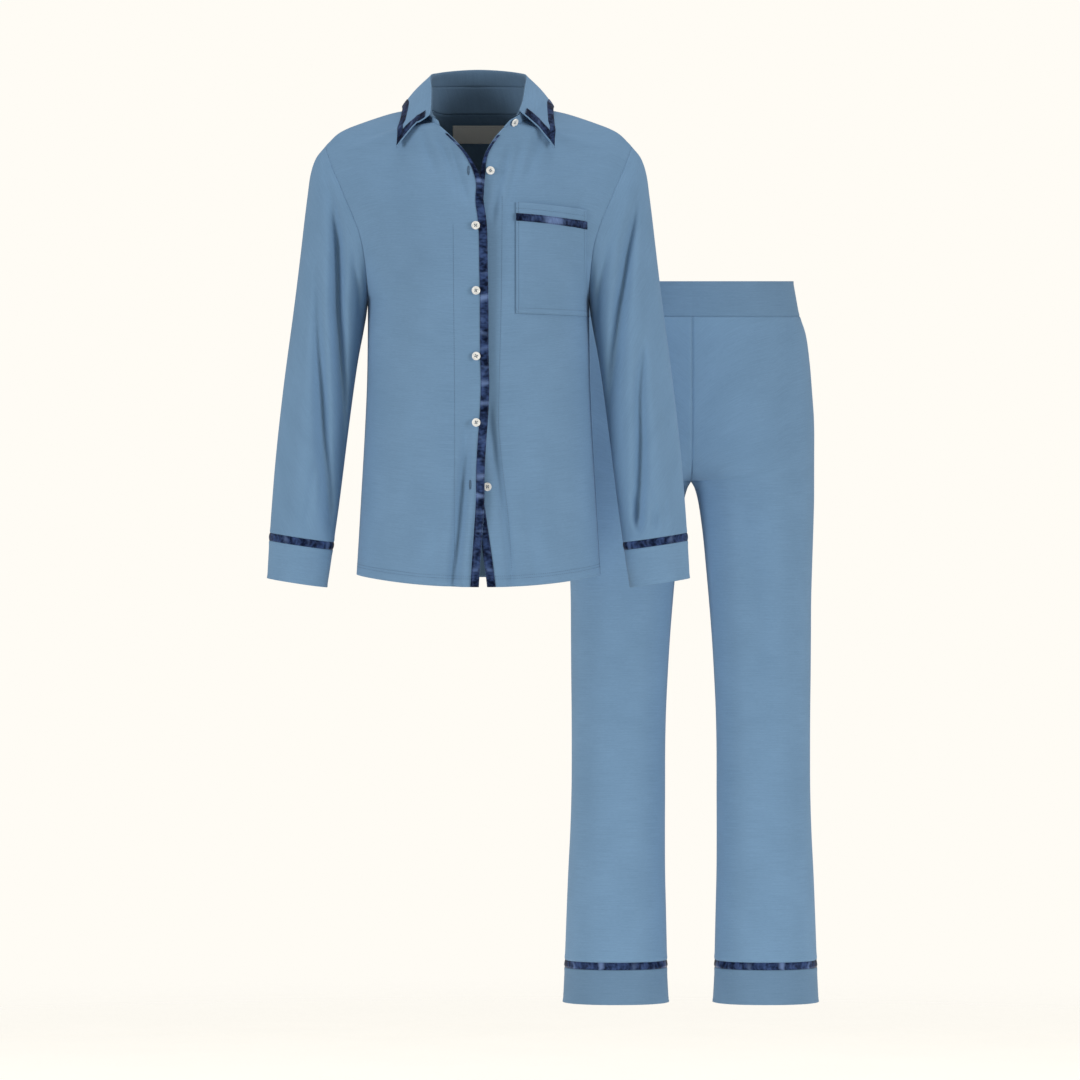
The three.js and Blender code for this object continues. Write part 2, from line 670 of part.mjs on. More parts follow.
// Satin tape along both front edges, from the hem to the end of the collar stand
const FRONT_TAPE = 12;
const NECK_TAPE = 6; // narrower where it turns with the open neck
const FRONT_TAPE_LIFT = 0.5;
const EDGE_ROWS = 19;
const TAPE_SHORT = 0.35; // rows by which the tape stops short of the neck seam
function frontTape(name, grid) {
  const rows = [];
  for (let i = 0; i < EDGE_ROWS; i += 1) rows.push(i);
  rows.push(EDGE_ROWS - TAPE_SHORT);
  const cols = rows.map((row) => {
    const a = sample(grid, row, 0).p;
    const b = sample(grid, row, 1).p;
    const width = mix(FRONT_TAPE, NECK_TAPE, step(15.5, 17.5, row));
    return [0, Math.min(1, width / Math.hypot(...sub(b, a)))];
  });
  place(name, laidOn(grid, rows, cols, FRONT_TAPE_LIFT, TAPE_WALL), SATIN);
}
frontTape('front_tape_upper', frontUpper);
frontTape('front_tape_under', frontUnder);

// Chest pocket on the under front, with its satin tape below the hem of the pocket
const POCKET = { foot: 9.45, top: 15.95, left: 53, right: 152.5, wall: 1.2, lift: 1.3 };
const POCKET_COLS = 13;
const POCKET_TAPE = { foot: 14.85, top: 15.3 };

// Broken column number of a grid row at a given x
function columnAt(grid, row, x) {
  const width = grid.P[0].length;
  for (let j = 0; j < width - 1; j += 1) {
    const a = sample(grid, row, j).p[0];
    const b = sample(grid, row, j + 1).p[0];
    if (x >= a && x <= b) return j + (x - a) / (b - a);
  }
  return width - 1;
}
const pocketCols = (rows) => rows.map((row) => {
  const from = columnAt(frontUnder, row, POCKET.left);
  const to = columnAt(frontUnder, row, POCKET.right);
  return Array.from({ length: POCKET_COLS + 1 }, (_, k) => mix(from, to, k / POCKET_COLS));
});
const pocketRows = [POCKET.foot, 10, 11, 12, 13, 14, 15, POCKET.top];
place('pocket', laidOn(frontUnder, pocketRows, pocketCols(pocketRows), POCKET.lift, POCKET.wall), JERSEY);
const tapeRows = [POCKET_TAPE.foot, 15, POCKET_TAPE.top];
const tapeLift = POCKET.lift + POCKET.wall + LAY;
place('pocket_tape', laidOn(frontUnder, tapeRows, pocketCols(tapeRows), tapeLift, TAPE_WALL), SATIN);

// Satin tape on the collar leaf: along the free edge, and up both front ends
const LEAF_TAPE = 10;
const LEAF_END_TAPE = 8.5;
const LEAF_TAPE_LIFT = 0.6;
const END_TAPE_IN = 1.6; // a line of jersey shows outside the tape at the leaf's ends
const leafRows = 4 + LEAF_SHARES.length;
const lastSpan = (j) => Math.hypot(...sub(leaf.P[leafRows][j], leaf.P[leafRows - 1][j]));
function collarTape() {
  const P = [];
  const N = [];
  for (let j = 0; j <= 2 * COLLAR_STATIONS; j += 1) {
    const from = leafRows - LEAF_TAPE / lastSpan(j);
    const spots = [sample(leaf, from, j), sample(leaf, leafRows, j)];
    P.push(spots.map((s) => add(s.p, s.n, LEAF_TAPE_LIFT)));
    N.push(spots.map((s) => s.n));
  }
  place('collar_tape', wallGeometry(layer(P, N), 0, TAPE_WALL), SATIN);
}
collarTape();
function collarEndTape(name, end) {
  const sign = end === 0 ? 1 : -1;
  const rows = [4.4, 5, 6, 7, leafRows - (LEAF_TAPE + END_TAPE_IN) / lastSpan(end)];
  const cols = rows.map((row) => {
    const span = Math.hypot(...sub(sample(leaf, row, end).p, sample(leaf, row, end + sign).p));
    const from = end + (sign * END_TAPE_IN) / span;
    const to = end + (sign * Math.min(0.98 * span, END_TAPE_IN + LEAF_END_TAPE)) / span;
    return sign > 0 ? [from, to] : [to, from];
  });
  place(name, laidOn(leaf, rows, cols, LEAF_TAPE_LIFT, TAPE_WALL), SATIN);
}
collarEndTape('collar_end_tape_left', 0);
collarEndTape('collar_end_tape_right', 2 * COLLAR_STATIONS);

// Bare label inside the back of the neck, a little below the neck seam
const LABEL = { half: 1.4, rows: [20.75, 21, 21.9], lift: -WALL - 1.5, wall: 0.8 };
const labelCols = [-LABEL.half, -1, 0, 1, LABEL.half].map((k) => HALF_BACK + k);
place('neck_label', laidOn(back, LABEL.rows, labelCols, LABEL.lift, LABEL.wall), LABEL_GREY);

// Buttons: a dished disc, its rim rounded
const BUTTON = { radius: 6, height: 2.1, dish: 0.6, sides: 12 };
function buttonGeometry(spot, n) {
  const across = unit(cross([0, 0, 1], n));
  const up = cross(n, across);
  const profile = [
    [BUTTON.radius * 0.88, 0],
    [BUTTON.radius, BUTTON.height * 0.45],
    [BUTTON.radius * 0.88, BUTTON.height],
    [BUTTON.radius * 0.62, BUTTON.height - BUTTON.dish],
  ];
  const xyz = [];
  for (const [r, h] of profile) {
    for (let k = 0; k < BUTTON.sides; k += 1) {
      const a = (2 * Math.PI * k) / BUTTON.sides;
      xyz.push(...add(add(add(spot, across, r * Math.cos(a)), up, r * Math.sin(a)), n, h));
    }
  }
  xyz.push(...spot, ...add(spot, n, BUTTON.height - BUTTON.dish));
  const faces = [];
  const foot = profile.length * BUTTON.sides;
  for (let k = 0; k < BUTTON.sides; k += 1) {
    const next = (k + 1) % BUTTON.sides;
    faces.push(foot, next, k);
    for (let ring = 0; ring < profile.length - 1; ring += 1) {
      const a = ring * BUTTON.sides;
      const b = a + BUTTON.sides;
      faces.push(a + k, a + next, b + next, a + k, b + next, b + k);
    }
    const rim = (profile.length - 1) * BUTTON.sides;
    faces.push(rim + k, rim + next, foot + 1);
  }
  return closed(xyz, faces);
}

// Six buttons down the front: through the upper front, or bare on the under front where undone
const BUTTONS = [
  { name: 'button_1', grid: frontUnder, x: 17, z: -86, lift: 1.4 },
  { name: 'button_2', grid: frontUpper, x: -3.2, z: -163.3, lift: 1.4 },
  { name: 'button_3', grid: frontUpper, x: -2.7, z: -254.2, lift: 1.4 },
  { name: 'button_4', grid: frontUpper, x: -2.4, z: -346.5, lift: 1.4 },
  { name: 'button_5', grid: frontUpper, x: -2.1, z: -440.2, lift: 1.4 },
  { name: 'button_6', grid: frontUnder, x: 13, z: -531, lift: 0 },
];
for (const b of BUTTONS) {
  const at = facetUnder(b.grid, b.x, b.z);
  place(b.name, buttonGeometry(add(at.p, at.n, LAY + b.lift), at.n), SHELL_WHITE);
}

// Stand button, on the outside of the stand by its right front end
const standButton = { p: [51, -80, -15], n: unit([0.78, -0.6, -0.05]) };
place('button_7', buttonGeometry(standButton.p, standButton.n), SHELL_WHITE);

// Trousers
const TROUSERS_X = 304.9; // centre line, to the right of the top
const TROUSERS_Y = 200; // and behind it
const LEG_COLS = 8; // inner edge to side seam

// Rows run up the leg. theta is where the section starts: 0 on the inseam, 90 on the centre seam.
const legSection = curve(['outZ', 'inZ', 'outer', 'inner', 'theta', 'front', 'back'], [
  [-4, -1280.2, -1280.2, 184.5, 31.7, 0, 75, 77],
  [-2, -1255, -1255, 183.2, 33.2, 0, 75, 77],
  [-1, -1230, -1230, 182, 34.4, 0, 74.5, 76.5],
  [0, -1219.3, -1219.3, 181.4, 34.6, 0, 74, 76],
  [1, -1155, -1155, 179, 36, 0, 73, 75],
  [2, -1095, -1095, 176.6, 37.4, 0, 72, 74],
  [3, -1035, -1035, 173.6, 37.7, 0, 71, 73],
  [4, -975, -975, 171.8, 37.5, 0, 70.5, 73],
  [5, -915, -915, 171.5, 37.4, 0, 71, 74],
  [6, -860, -860, 171.7, 36.2, 0, 73, 77],
  [7, -805, -805, 172.3, 33.6, 0, 76, 81],
  [8, -750, -750, 172.7, 30.2, 0, 80, 86],
  [9, -700, -700, 173, 26.2, 0, 84, 92],
  [10, -650, -650, 174.4, 21.7, 0, 88, 98],
  [11, -606, -606, 175.8, 17.4, 0, 92, 104],
  [12, -563, -563, 177, 11.4, 0, 97, 111],
  [13, -540, -540.5, 177.2, 5.8, 0, 101, 115],
  [14, -520, -529.5, 177.2, 0, 0, 104, 119],
  [15, -503, -526, 177.2, 0, 24, 107, 122],
  [16, -484, -513, 177.2, 0, 48, 111, 126],
  [17, -460, -488, 177.2, 0, 70, 116, 129],
  [18, -434, -452, 176.4, 0, 85, 119, 130],
  [19, -404, -410, 174.2, 0, 90, 120, 128],
  [20, -362, -363, 170.8, 0, 90, 118, 122],
  [21, -320, -320, 165.2, 0, 90, 113, 114],
  [22, -292, -292, 156, 0, 90, 107, 106],
]);
const LEG_ROWS = 22;
const LEG_POWER = 2.25;

// Soft folds down the legs, given from the trousers' centre line
const LEG_FRONT_FOLDS = [
  { topX: 70, topZ: -545, footX: 96, footZ: -800, bow: 4, depth: 3.5, width: 18 },
  { topX: -72, topZ: -545, footX: -98, footZ: -820, bow: -4, depth: 3.5, width: 18 },
];
const LEG_BACK_FOLDS = [
  { topX: 60, topZ: -560, footX: 92, footZ: -900, bow: 4, depth: 5, width: 22 },
  { topX: -62, topZ: -570, footX: -88, footZ: -880, bow: -4, depth: 5, width: 22 },
];

function legPoint(side, face, row, c) {
  const e = legSection(row);
  const power = 2 / LEG_POWER;
  const bend = (v) => Math.sign(v) * Math.abs(v) ** power;
  const theta = (Math.max(0, e.theta) * Math.PI) / 180;
  const above = row >= 14;
  const half = above ? e.outer / (1 + bend(Math.cos(theta))) : (e.outer - e.inner) / 2;
  const middle = e.outer - half;
  const angle = mix(theta, Math.PI, c / LEG_COLS);
  const depth = face < 0 ? e.front : e.back;
  const x = (middle - half * bend(Math.cos(angle))) * side;
  const z = mix(e.inZ, e.outZ, Math.min(1, Math.max(0, (middle - half * bend(Math.cos(angle))) / e.outer)));
  const folds = face < 0 ? LEG_FRONT_FOLDS : LEG_BACK_FOLDS;
  const facing = row > 0 ? Math.sqrt(Math.max(0, Math.sin(angle))) * step(0, 1.5, row) : 0;
  const y = face * (depth * bend(Math.sin(angle)) - foldShift(folds, x, z) * facing);
  return [TROUSERS_X + x, TROUSERS_Y + y, z];
}

const legMiddle = (side) => (i, p) => [TROUSERS_X + 88 * side, TROUSERS_Y, p[2]];
const legs = [-1, 1].map((side) => {
  const panel = (face) => faceOut(
    makeGrid(LEG_ROWS, LEG_COLS, (i, j) => legPoint(side, face, i, j)),
    legMiddle(side),
  );
  const ring = (first, last, rows) => faceOut(
    makeGrid(rows, 2 * LEG_COLS, (i, j) => legPoint(
      side,
      j <= LEG_COLS ? -1 : 1,
      mix(first, last, i / rows),
      j <= LEG_COLS ? j : 2 * LEG_COLS - j,
    ), true),
    legMiddle(side),
  );
  return {
    tag: side < 0 ? 'left' : 'right',
    front: panel(-1),
    back: panel(1),
    tape: ring(-1, 0, 1),
    hem: ring(-4, -1, 2),
  };
});

// Waistband: a ring on the top row of the four panels
const WAIST_TOP = -241.3;
const WAIST_HALF = 147;
const waistband = makeGrid(2, 4 * LEG_COLS, (i, j) => {
  const quarter = Math.floor(j / LEG_COLS);
  const k = j % LEG_COLS;
  const [side, face, c] = [
    [1, -1, k],
    [1, 1, LEG_COLS - k],
    [-1, 1, k],
    [-1, -1, LEG_COLS - k],
  ][quarter];
  const low = legPoint(side, face, LEG_ROWS, c);
  const shrink = mix(1, WAIST_HALF / 156, i / 2);
  return [
    TROUSERS_X + (low[0] - TROUSERS_X) * shrink,
    TROUSERS_Y + (low[1] - TROUSERS_Y) * mix(1, 0.95, i / 2),
    mix(low[2], WAIST_TOP, i / 2),
  ];
}, true);
faceOut(waistband, (i, p) => [TROUSERS_X, TROUSERS_Y, p[2]]);

joinSeams([waistband, ...legs.flatMap((leg) => [leg.front, leg.back, leg.tape, leg.hem])]);
place('waistband', wallGeometry(trim(waistband), -BAND_WALL, 0), JERSEY);
for (const leg of legs) {
  place(`trouser_front_${leg.tag}`, wallGeometry(trim(leg.front), -WALL, 0), JERSEY);
  place(`trouser_back_${leg.tag}`, wallGeometry(trim(leg.back), -WALL, 0), JERSEY);
  place(`hem_tape_${leg.tag}`, wallGeometry(trim(leg.tape), -WALL, TAPE_PROUD), SATIN);
  place(`hem_band_${leg.tag}`, wallGeometry(trim(leg.hem), -WALL, 0), JERSEY);
}

export default set;
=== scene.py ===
import json
import math

import bpy
import numpy as np
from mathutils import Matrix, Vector

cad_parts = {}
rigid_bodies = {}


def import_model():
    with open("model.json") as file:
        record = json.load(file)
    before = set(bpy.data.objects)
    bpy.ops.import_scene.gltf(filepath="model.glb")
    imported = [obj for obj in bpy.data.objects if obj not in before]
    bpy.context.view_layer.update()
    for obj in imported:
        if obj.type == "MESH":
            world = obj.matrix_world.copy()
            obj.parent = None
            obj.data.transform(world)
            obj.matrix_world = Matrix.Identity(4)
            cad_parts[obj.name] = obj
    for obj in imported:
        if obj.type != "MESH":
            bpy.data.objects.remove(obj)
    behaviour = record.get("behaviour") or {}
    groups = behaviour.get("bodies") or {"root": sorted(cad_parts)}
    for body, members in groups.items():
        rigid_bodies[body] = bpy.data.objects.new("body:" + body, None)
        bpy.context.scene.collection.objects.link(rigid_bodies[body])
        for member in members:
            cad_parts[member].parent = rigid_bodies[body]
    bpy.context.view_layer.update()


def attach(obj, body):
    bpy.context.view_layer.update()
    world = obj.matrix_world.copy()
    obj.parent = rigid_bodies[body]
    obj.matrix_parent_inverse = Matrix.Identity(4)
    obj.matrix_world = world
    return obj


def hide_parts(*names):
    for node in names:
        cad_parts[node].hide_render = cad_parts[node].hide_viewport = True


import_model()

# Fronts of the top
# Two panels of fine viscose jersey, laid one over the other down the middle. They are sewn to the
# back at shoulders and sides, and hang from the shoulders in long soft folds. Sizes are in millimetres.

# row up the seam, x, z, depth of the armhole in front, depth behind
SIDE_LINE = [
    (0, 173.0, -657.5, 0, 0),
    (1, 170.5, -619, 0, 0),
    (3, 166.0, -542, 0, 0),
    (5, 161.5, -464.5, 0, 0),
    (7, 158.0, -387.5, 0, 0),
    (9, 156.8, -310.5, 0, 0),
    (10, 157.0, -272, 0, 0),
    (11, 157.4, -258, 23, 25),
    (12, 158.2, -238, 40, 43),
    (13, 160.2, -215, 51, 55),
    (14, 163.8, -191, 57, 61),
    (15, 169.8, -168, 58, 62),
    (16, 179.0, -145, 54, 58),
    (17, 188.6, -123, 46, 50),
    (18, 197.6, -102, 36, 40),
    (19, 205.0, -85, 26, 30),
    (20, 210.6, -70, 17, 20),
    (21, 214.6, -59, 8, 10),
    (22, 217.0, -50, 0, 0),
]
# row, x, y, z of the front edge, then of the neck seam, to the shoulder
UPPER_EDGE = [
    (0, 1.2, -130, -672),
    (1, 3.6, -128, -634),
    (2, 6.5, -126, -593),
    (3, 9.2, -123, -552),
    (4, 9.6, -121, -511),
    (5, 11.6, -119, -470),
    (6, 14.6, -118, -429),
    (7, 16.0, -119, -388),
    (8, 15.2, -121, -347),
    (9, 15.0, -124, -306),
    (10, 14.9, -126, -265),
    (12, 14.0, -127, -221),
    (14, 13.3, -124, -175),
    (15, 11.4, -120, -151),
    (16, 7.8, -114, -127),
    (17, 4.2, -105, -97),
    (18, -16.5, -95, -60),
    (19, -55, -80, -22),
    (20, -66, -57, -16),
    (21, -74, -28, -4),
    (22, -76, 0, 5),
]
UNDER_EDGE = [
    (0, 12.8, -128, -672),
    (1, 8.2, -124.5, -634),
    (2, 2.2, -120.5, -593),
    (3, -3.4, -116.5, -552),
    (4, -8.5, -114, -511),
    (5, -12, -112.5, -470),
    (6, -13.5, -112, -429),
    (7, -14, -113, -388),
    (8, -14, -115, -347),
    (9, -14, -117.5, -306),
    (10, -14, -119, -265),
    (12, -13.5, -119, -221),
    (14, -11, -116, -175),
    (15, -8, -112, -151),
    (16, -4, -106, -127),
    (17, 1.5, -98, -97),
    (18, 10.5, -92, -60),
    (19, 37, -87, -25),
    (20, 60, -66, -18),
    (21, 73, -33, -6),
    (22, 76, 0, 5),
]
# share of the shoulder seam, x, y, z
SHOULDER = [
    (0, 76, 0, 5),
    (0.2, 104, 0, 0.6),
    (0.35, 125, 0, -4),
    (0.5, 146, 0, -10.5),
    (0.65, 167, 0, -17.8),
    (0.8, 188, 0, -26),
    (0.9, 202, 0, -34.5),
    (1, 217, 0, -50),
]
ROWS = 22  # hem to shoulder
FLAT_ROWS = (8.5, 15.5)  # sections turn from rounded to flat
LED_ROW = 14  # rows above it are led onto the shoulder line
ROUND = 2 / 2.4  # power of the rounded sections
VENT = 4  # half the gap of the side vents at the hem
WALL = 1.3  # jersey with its seam allowances
MM = 0.001  # the scene is in metres
STEP = 1e-3  # of a share or a row, to find a slope

# top x, top z, foot x, foot z, bow, depth, width
FRONT_FOLDS = [
    (-17, -440, -34, -668, 3, 3.5, 15),
    (25, -395, 48, -662, -3, 2.5, 15),
    (-92, -470, -112, -660, 0, 3, 20),
    (100, -440, 122, -655, 0, 3, 20),
    (-36, -50, -16, -125, 0, 3.6, 5),
    (-54, -40, -30, -112, 2, 3.4, 6),
    (42, -62, 22, -150, -2, 4.0, 5.5),
    (60, -52, 36, -160, 0, 3.0, 6),
    (-78, -36, -62, -84, 0, 3.4, 7),
    (88, -36, 68, -95, 0, 3.4, 7),
    (150, -118, 128, -170, 0, 1.6, 8),
    (-152, -150, -120, -235, 3, 2.0, 10),
    (152, -190, 128, -300, -3, 2.0, 10),
]
# z, x, depth, width of drawn folds, foot first
UPPER_RUNS = [
    [(-700, -38, 8, 8), (-648, -33, 11, 8), (-598, -27, 12, 8), (-548, -23, 11, 7.5),
     (-498, -18, 7, 6.5), (-460, -16, 3, 6), (-425, -15, 0, 5)],
    [(-700, -12, 3, 5), (-630, -9, 5, 5), (-568, -5, 3, 5), (-520, -4, 0, 4)],
    [(-700, -66, 0, 12), (-640, -60, 3, 12), (-560, -54, 2.5, 11), (-480, -52, 0, 9)],
]
UNDER_RUNS = [
    [(-700, 50, 3, 5), (-650, 46, 4.5, 5), (-590, 40, 5, 5), (-530, 30, 6, 5.5), (-480, 22, 7, 6),
     (-440, 17, 5, 5), (-400, 16, 0, 5)],
    [(-700, 84, 0, 12), (-640, 80, 3, 12), (-560, 70, 2.5, 11), (-470, 64, 0, 10)],
]


def cubic(a, b, slope_a, slope_b, t):
    """Cubic from a at t = 0 to b at t = 1, with the given slopes there."""
    bend = (t - 2 * t**2 + t**3) * slope_a + (t**3 - t**2) * slope_b
    return a + (b - a) * (3 * t**2 - 2 * t**3) + bend


def curve(table, key):
    """Smooth line through a table whose first column is the key. Between two rows it is the cubic
    that takes its slope at each from the two rows on either side."""
    rows = np.asarray(table, float)
    at, value = rows[:, 0], rows[:, 1:]
    low = np.maximum(np.arange(len(at)) - 1, 0)
    high = np.minimum(np.arange(len(at)) + 1, len(at) - 1)
    slope = (value[high] - value[low]) / (at[high] - at[low])[:, None]
    key = np.asarray(key, float)
    i = np.clip(np.searchsorted(at, key) - 1, 0, len(at) - 2)
    span = (at[i + 1] - at[i])[..., None]
    t = np.clip((key - at[i])[..., None] / span, 0, 1)
    return cubic(value[i], value[i + 1], slope[i] * span, slope[i + 1] * span, t)


def ease(a, b, x):
    """Rise from 0 at a to 1 at b, as 3t² - 2t³."""
    t = np.clip((x - a) / (b - a), 0, 1)
    return t * t * (3 - 2 * t)


def troughs(table, x, z):
    """Sum of soft folds. Each runs along a bowed line from its top to its foot, and across it is
    depth · exp(-|d / width|^1.8), with both ends fading out. Below 0 it is a ridge."""
    total = np.zeros(np.shape(x))
    for top_x, top_z, foot_x, foot_z, bow, depth, width in table:
        length = math.hypot(foot_x - top_x, foot_z - top_z)
        along_x, along_z = (foot_x - top_x) / length, (foot_z - top_z) / length
        t = ((x - top_x) * along_x + (z - top_z) * along_z) / length
        d = (z - top_z) * along_x - (x - top_x) * along_z - bow * 4 * t * (1 - t)
        fade = ease(-0.2, 0.1, t) * (1 - ease(0.85, 1.2, t))
        total += depth * fade * np.exp(-np.abs(d / width) ** 1.8)
    return total


def runs(table, x, z):
    """Sum of folds that follow a drawn line. Each is a list of (z, x, depth, width) from its foot to
    its top, joined by smooth curves, and across it is depth · exp(-|d / width|^1.6)."""
    total = np.zeros(np.shape(x))
    for path in table:
        at = curve(path, z)
        total += at[..., 1] * np.exp(-np.abs((x - at[..., 0]) / at[..., 2]) ** 1.6)
    return total


def ripple(x, z, size):
    """Slow unevenness of hanging cloth: three sines that run mostly up and down."""
    a = np.sin(x / 11 + 1.7 * np.sin(z / 95 + 0.4) + 0.6)
    b = np.sin(x / 19 - z / 210 + 1.1 * np.sin(z / 60))
    c = np.sin(z / 37 + 1.4 * np.sin(x / 30 + z / 120))
    return size * (0.5 * a + 0.35 * b + 0.15 * c)


def half_panel(middle, side, face, top, pull_power, creases, drawn):
    """Panel between its middle line, given as a table, and the side seam, as a function of the share
    across and the row. Low down it is a rounded section (sine and cosine to a power), at the chest a
    flat one, and the rows near the top are led onto the line top. Folds move it front to back."""

    def plain(s, row):
        m, e = curve(middle, row), curve(SIDE_LINE, row)
        angle = np.clip(s, 0, 1) * np.pi / 2
        flat = ease(*FLAT_ROWS, row)
        chest = 2 - 1.15 * ease(16, 19, row) if face < 0 else 2
        round_x, round_y = np.sin(angle) ** ROUND, np.clip(np.cos(angle), 0, 1) ** ROUND
        x_share = round_x + (s - round_x) * flat
        y_share = round_y + (1 - np.clip(s, 0, 1) ** chest - round_y) * flat
        vent = VENT * np.clip(1 - row, 0, 1)
        side_y = -e[..., 2] - vent if face < 0 else e[..., 3] + vent
        x = m[..., 0] + (e[..., 0] * side - m[..., 0]) * x_share
        y = side_y + (m[..., 1] - side_y) * y_share
        z = m[..., 2] + (e[..., 1] - m[..., 2]) * x_share**2
        return np.stack([x, y, z], -1)

    def panel(s, row):
        s, row = np.broadcast_arrays(np.asarray(s, float), np.asarray(row, float))
        pull = np.clip((row - LED_ROW) / (ROWS - LED_ROW), 0, None) ** pull_power
        q = plain(s, row) + (top(s) - plain(s, row * 0 + ROWS)) * pull[..., None]
        x, z = q[..., 0], q[..., 2]
        calm = ease(0, 0.12, s) * (1 - ease(0.85, 1, s)) * (1 - ease(19, 22, row))
        loose = troughs(creases, x, z) + runs(drawn, x, z) * ease(0, 0.04, s)
        q[..., 1] -= face * (loose + ripple(x, z, 0.9) * calm)
        return q

    return panel


def shoulder_top(side):
    """Shoulder seam as a function of the share from the neck to the tip."""
    return lambda s: curve(SHOULDER, s) * np.array([side, 1, 1])


def spread(count, power=1.2):
    """Shares from 0 to 1, closer at both ends in the way that a rounded section needs:
    t^p / (t^p + (1-t)^p)."""
    t = np.linspace(0, 1, count)
    return t**power / (t**power + (1 - t) ** power)


def unit(v):
    """Vectors at length 1."""
    return v / np.maximum(np.linalg.norm(v, axis=-1, keepdims=True), 1e-9)


def facing(P, middle, wrap=False):
    """Unit normals of a grid, from the difference across times the difference up, on the side
    that faces away from the middle."""
    across = np.roll(P, -1, 1) - np.roll(P, 1, 1) if wrap else np.gradient(P, axis=1)
    N = unit(np.cross(across, np.gradient(P, axis=0)))
    return N if np.sum(N * (P - middle)) > 0 else -N


def travel(P):
    """Distance along a line, or up every column of a grid, from its first point."""
    return np.cumsum(np.linalg.norm(np.diff(P, axis=0, prepend=P[:1]), axis=-1), 0)


def run(P, wrap=False):
    """Distances across and up a grid, from its first column and its first row."""
    if wrap:
        P = np.concatenate([P, P[:, :1]], 1)
    return travel(P.swapaxes(0, 1)).T, travel(P)


def steps(*spans):
    """Even steps through spans of (first, last, count) that follow on one another."""
    return np.concatenate([np.linspace(*span)[min(k, 1):] for k, span in enumerate(spans)])


def seam(d):
    """Height beside a seam at distance d: nothing on the seam, then a low ridge where the two
    allowances lie inside, 0.6 · (1 - exp(-(d/1.5)²)) · exp(-(d/6)²)."""
    return 0.6 * (1 - np.exp(-((d / 1.5) ** 2))) * np.exp(-((d / 6) ** 2))


def new_piece(name, P, quads, material):
    """Object of a mesh, from its points in millimetres and the corners of its faces."""
    mesh = bpy.data.meshes.new(name)
    mesh.from_pydata(P.reshape(-1, 3) * MM, [], quads)
    mesh.materials.append(material)
    piece = bpy.data.objects.new(name, mesh)
    bpy.context.collection.objects.link(piece)
    return piece


def surface(name, P, N, material, inside=None, wrap=False, wall=WALL, flat=None):
    """Mesh of a grid in metres with its outer side along N, its UV in metres across and up (measured
    on the grid flat, if given), and its wall added inwards, with its own inner material."""
    rows, cols = P.shape[:2]
    ids = np.arange(rows * cols).reshape(rows, cols)
    if wrap:
        ids = np.concatenate([ids, ids[:, :1]], 1)
    corners = [(slice(0, -1), slice(0, -1)), (slice(0, -1), slice(1, None))]
    corners += [(slice(1, None), slice(1, None)), (slice(1, None), slice(0, -1))]
    across = np.roll(P, -1, 1) - P if wrap else np.gradient(P, axis=1)
    if np.sum(np.cross(across, np.gradient(P, axis=0)) * N) < 0:
        corners.reverse()
    piece = new_piece(name, P, np.stack([ids[c] for c in corners], -1).reshape(-1, 4), material)
    mesh = piece.data
    u, v = run(P if flat is None else flat, wrap)
    uv = np.stack([np.stack([u[c], v[c]], -1) for c in corners], -2) * MM
    mesh.uv_layers.new(name="UVMap").data.foreach_set("uv", uv.reshape(-1))
    mesh.polygons.foreach_set("use_smooth", np.ones(len(mesh.polygons), bool))
    mesh.update()
    if wall:
        thick = piece.modifiers.new("wall", "SOLIDIFY")
        thick.thickness, thick.offset = wall * MM, -1
        thick.use_even_offset = False
        if inside:
            mesh.materials.append(inside)
            thick.material_offset = 1
    return piece


def stitches(name, lines, look, length=2.3, gap=0.9, width=0.5, proud=0.2):
    """Rows of straight stitches in one mesh. Along each line, given as points and normals, a stitch
    is a low bar of four rings of four corners, its middle proud and its ends sunk in the cloth."""
    at, high = np.array([0, 0.2, 0.8, 1.0]), np.array([-0.3, proud, proud, -0.3])
    rings = []
    for P, N in lines:
        gone = travel(P)
        start = np.arange(int(gone[-1] // (length + gap)))[:, None] * (length + gap)
        d = start + at * length
        lead = (P, N, np.gradient(P, axis=0))
        C, U, T = (np.stack([np.interp(d, gone, A[:, k]) for k in range(3)], -1) for A in lead)
        U, T = unit(U), unit(T)
        S = np.cross(T, U) * width / 2
        C = C + U * high[:, None]
        rings.append(np.stack([C + S, C + U * width * 0.4, C - S, C - U * width * 0.3], 2))
    V = np.concatenate(rings)
    base = np.arange(len(V))[:, None, None] * 16
    side = [[(j, j + 4, (j + 1) % 4 + 4, (j + 1) % 4) for j in range(4)]]
    bars = (np.array(side) + np.arange(3)[:, None, None] * 4).reshape(-1, 4)
    quads = base + np.concatenate([bars, [(0, 1, 2, 3), (15, 14, 13, 12)]])
    return new_piece(name, V, quads.reshape(-1, 4), look)


def at_height(P, N, d):
    """Line across a grid at a distance d from its first row."""
    gone = run(P)[1].mean(1)
    k = int(np.searchsorted(gone, d)) - 1
    t = (d - gone[k]) / (gone[k + 1] - gone[k])
    return P[k] + (P[k + 1] - P[k]) * t, N[k]


def fit(piece, slot, *nodes, cut=None, widths=(), rests=()):
    """Ties a piece to the root body and hides the solids it stands for. Its finish (slot), its cut
    (the greatest width and length), the widths at heights above the foot of one that is shaped, and
    rests are not used."""
    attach(piece, "root")
    if nodes:
        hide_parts(*nodes)


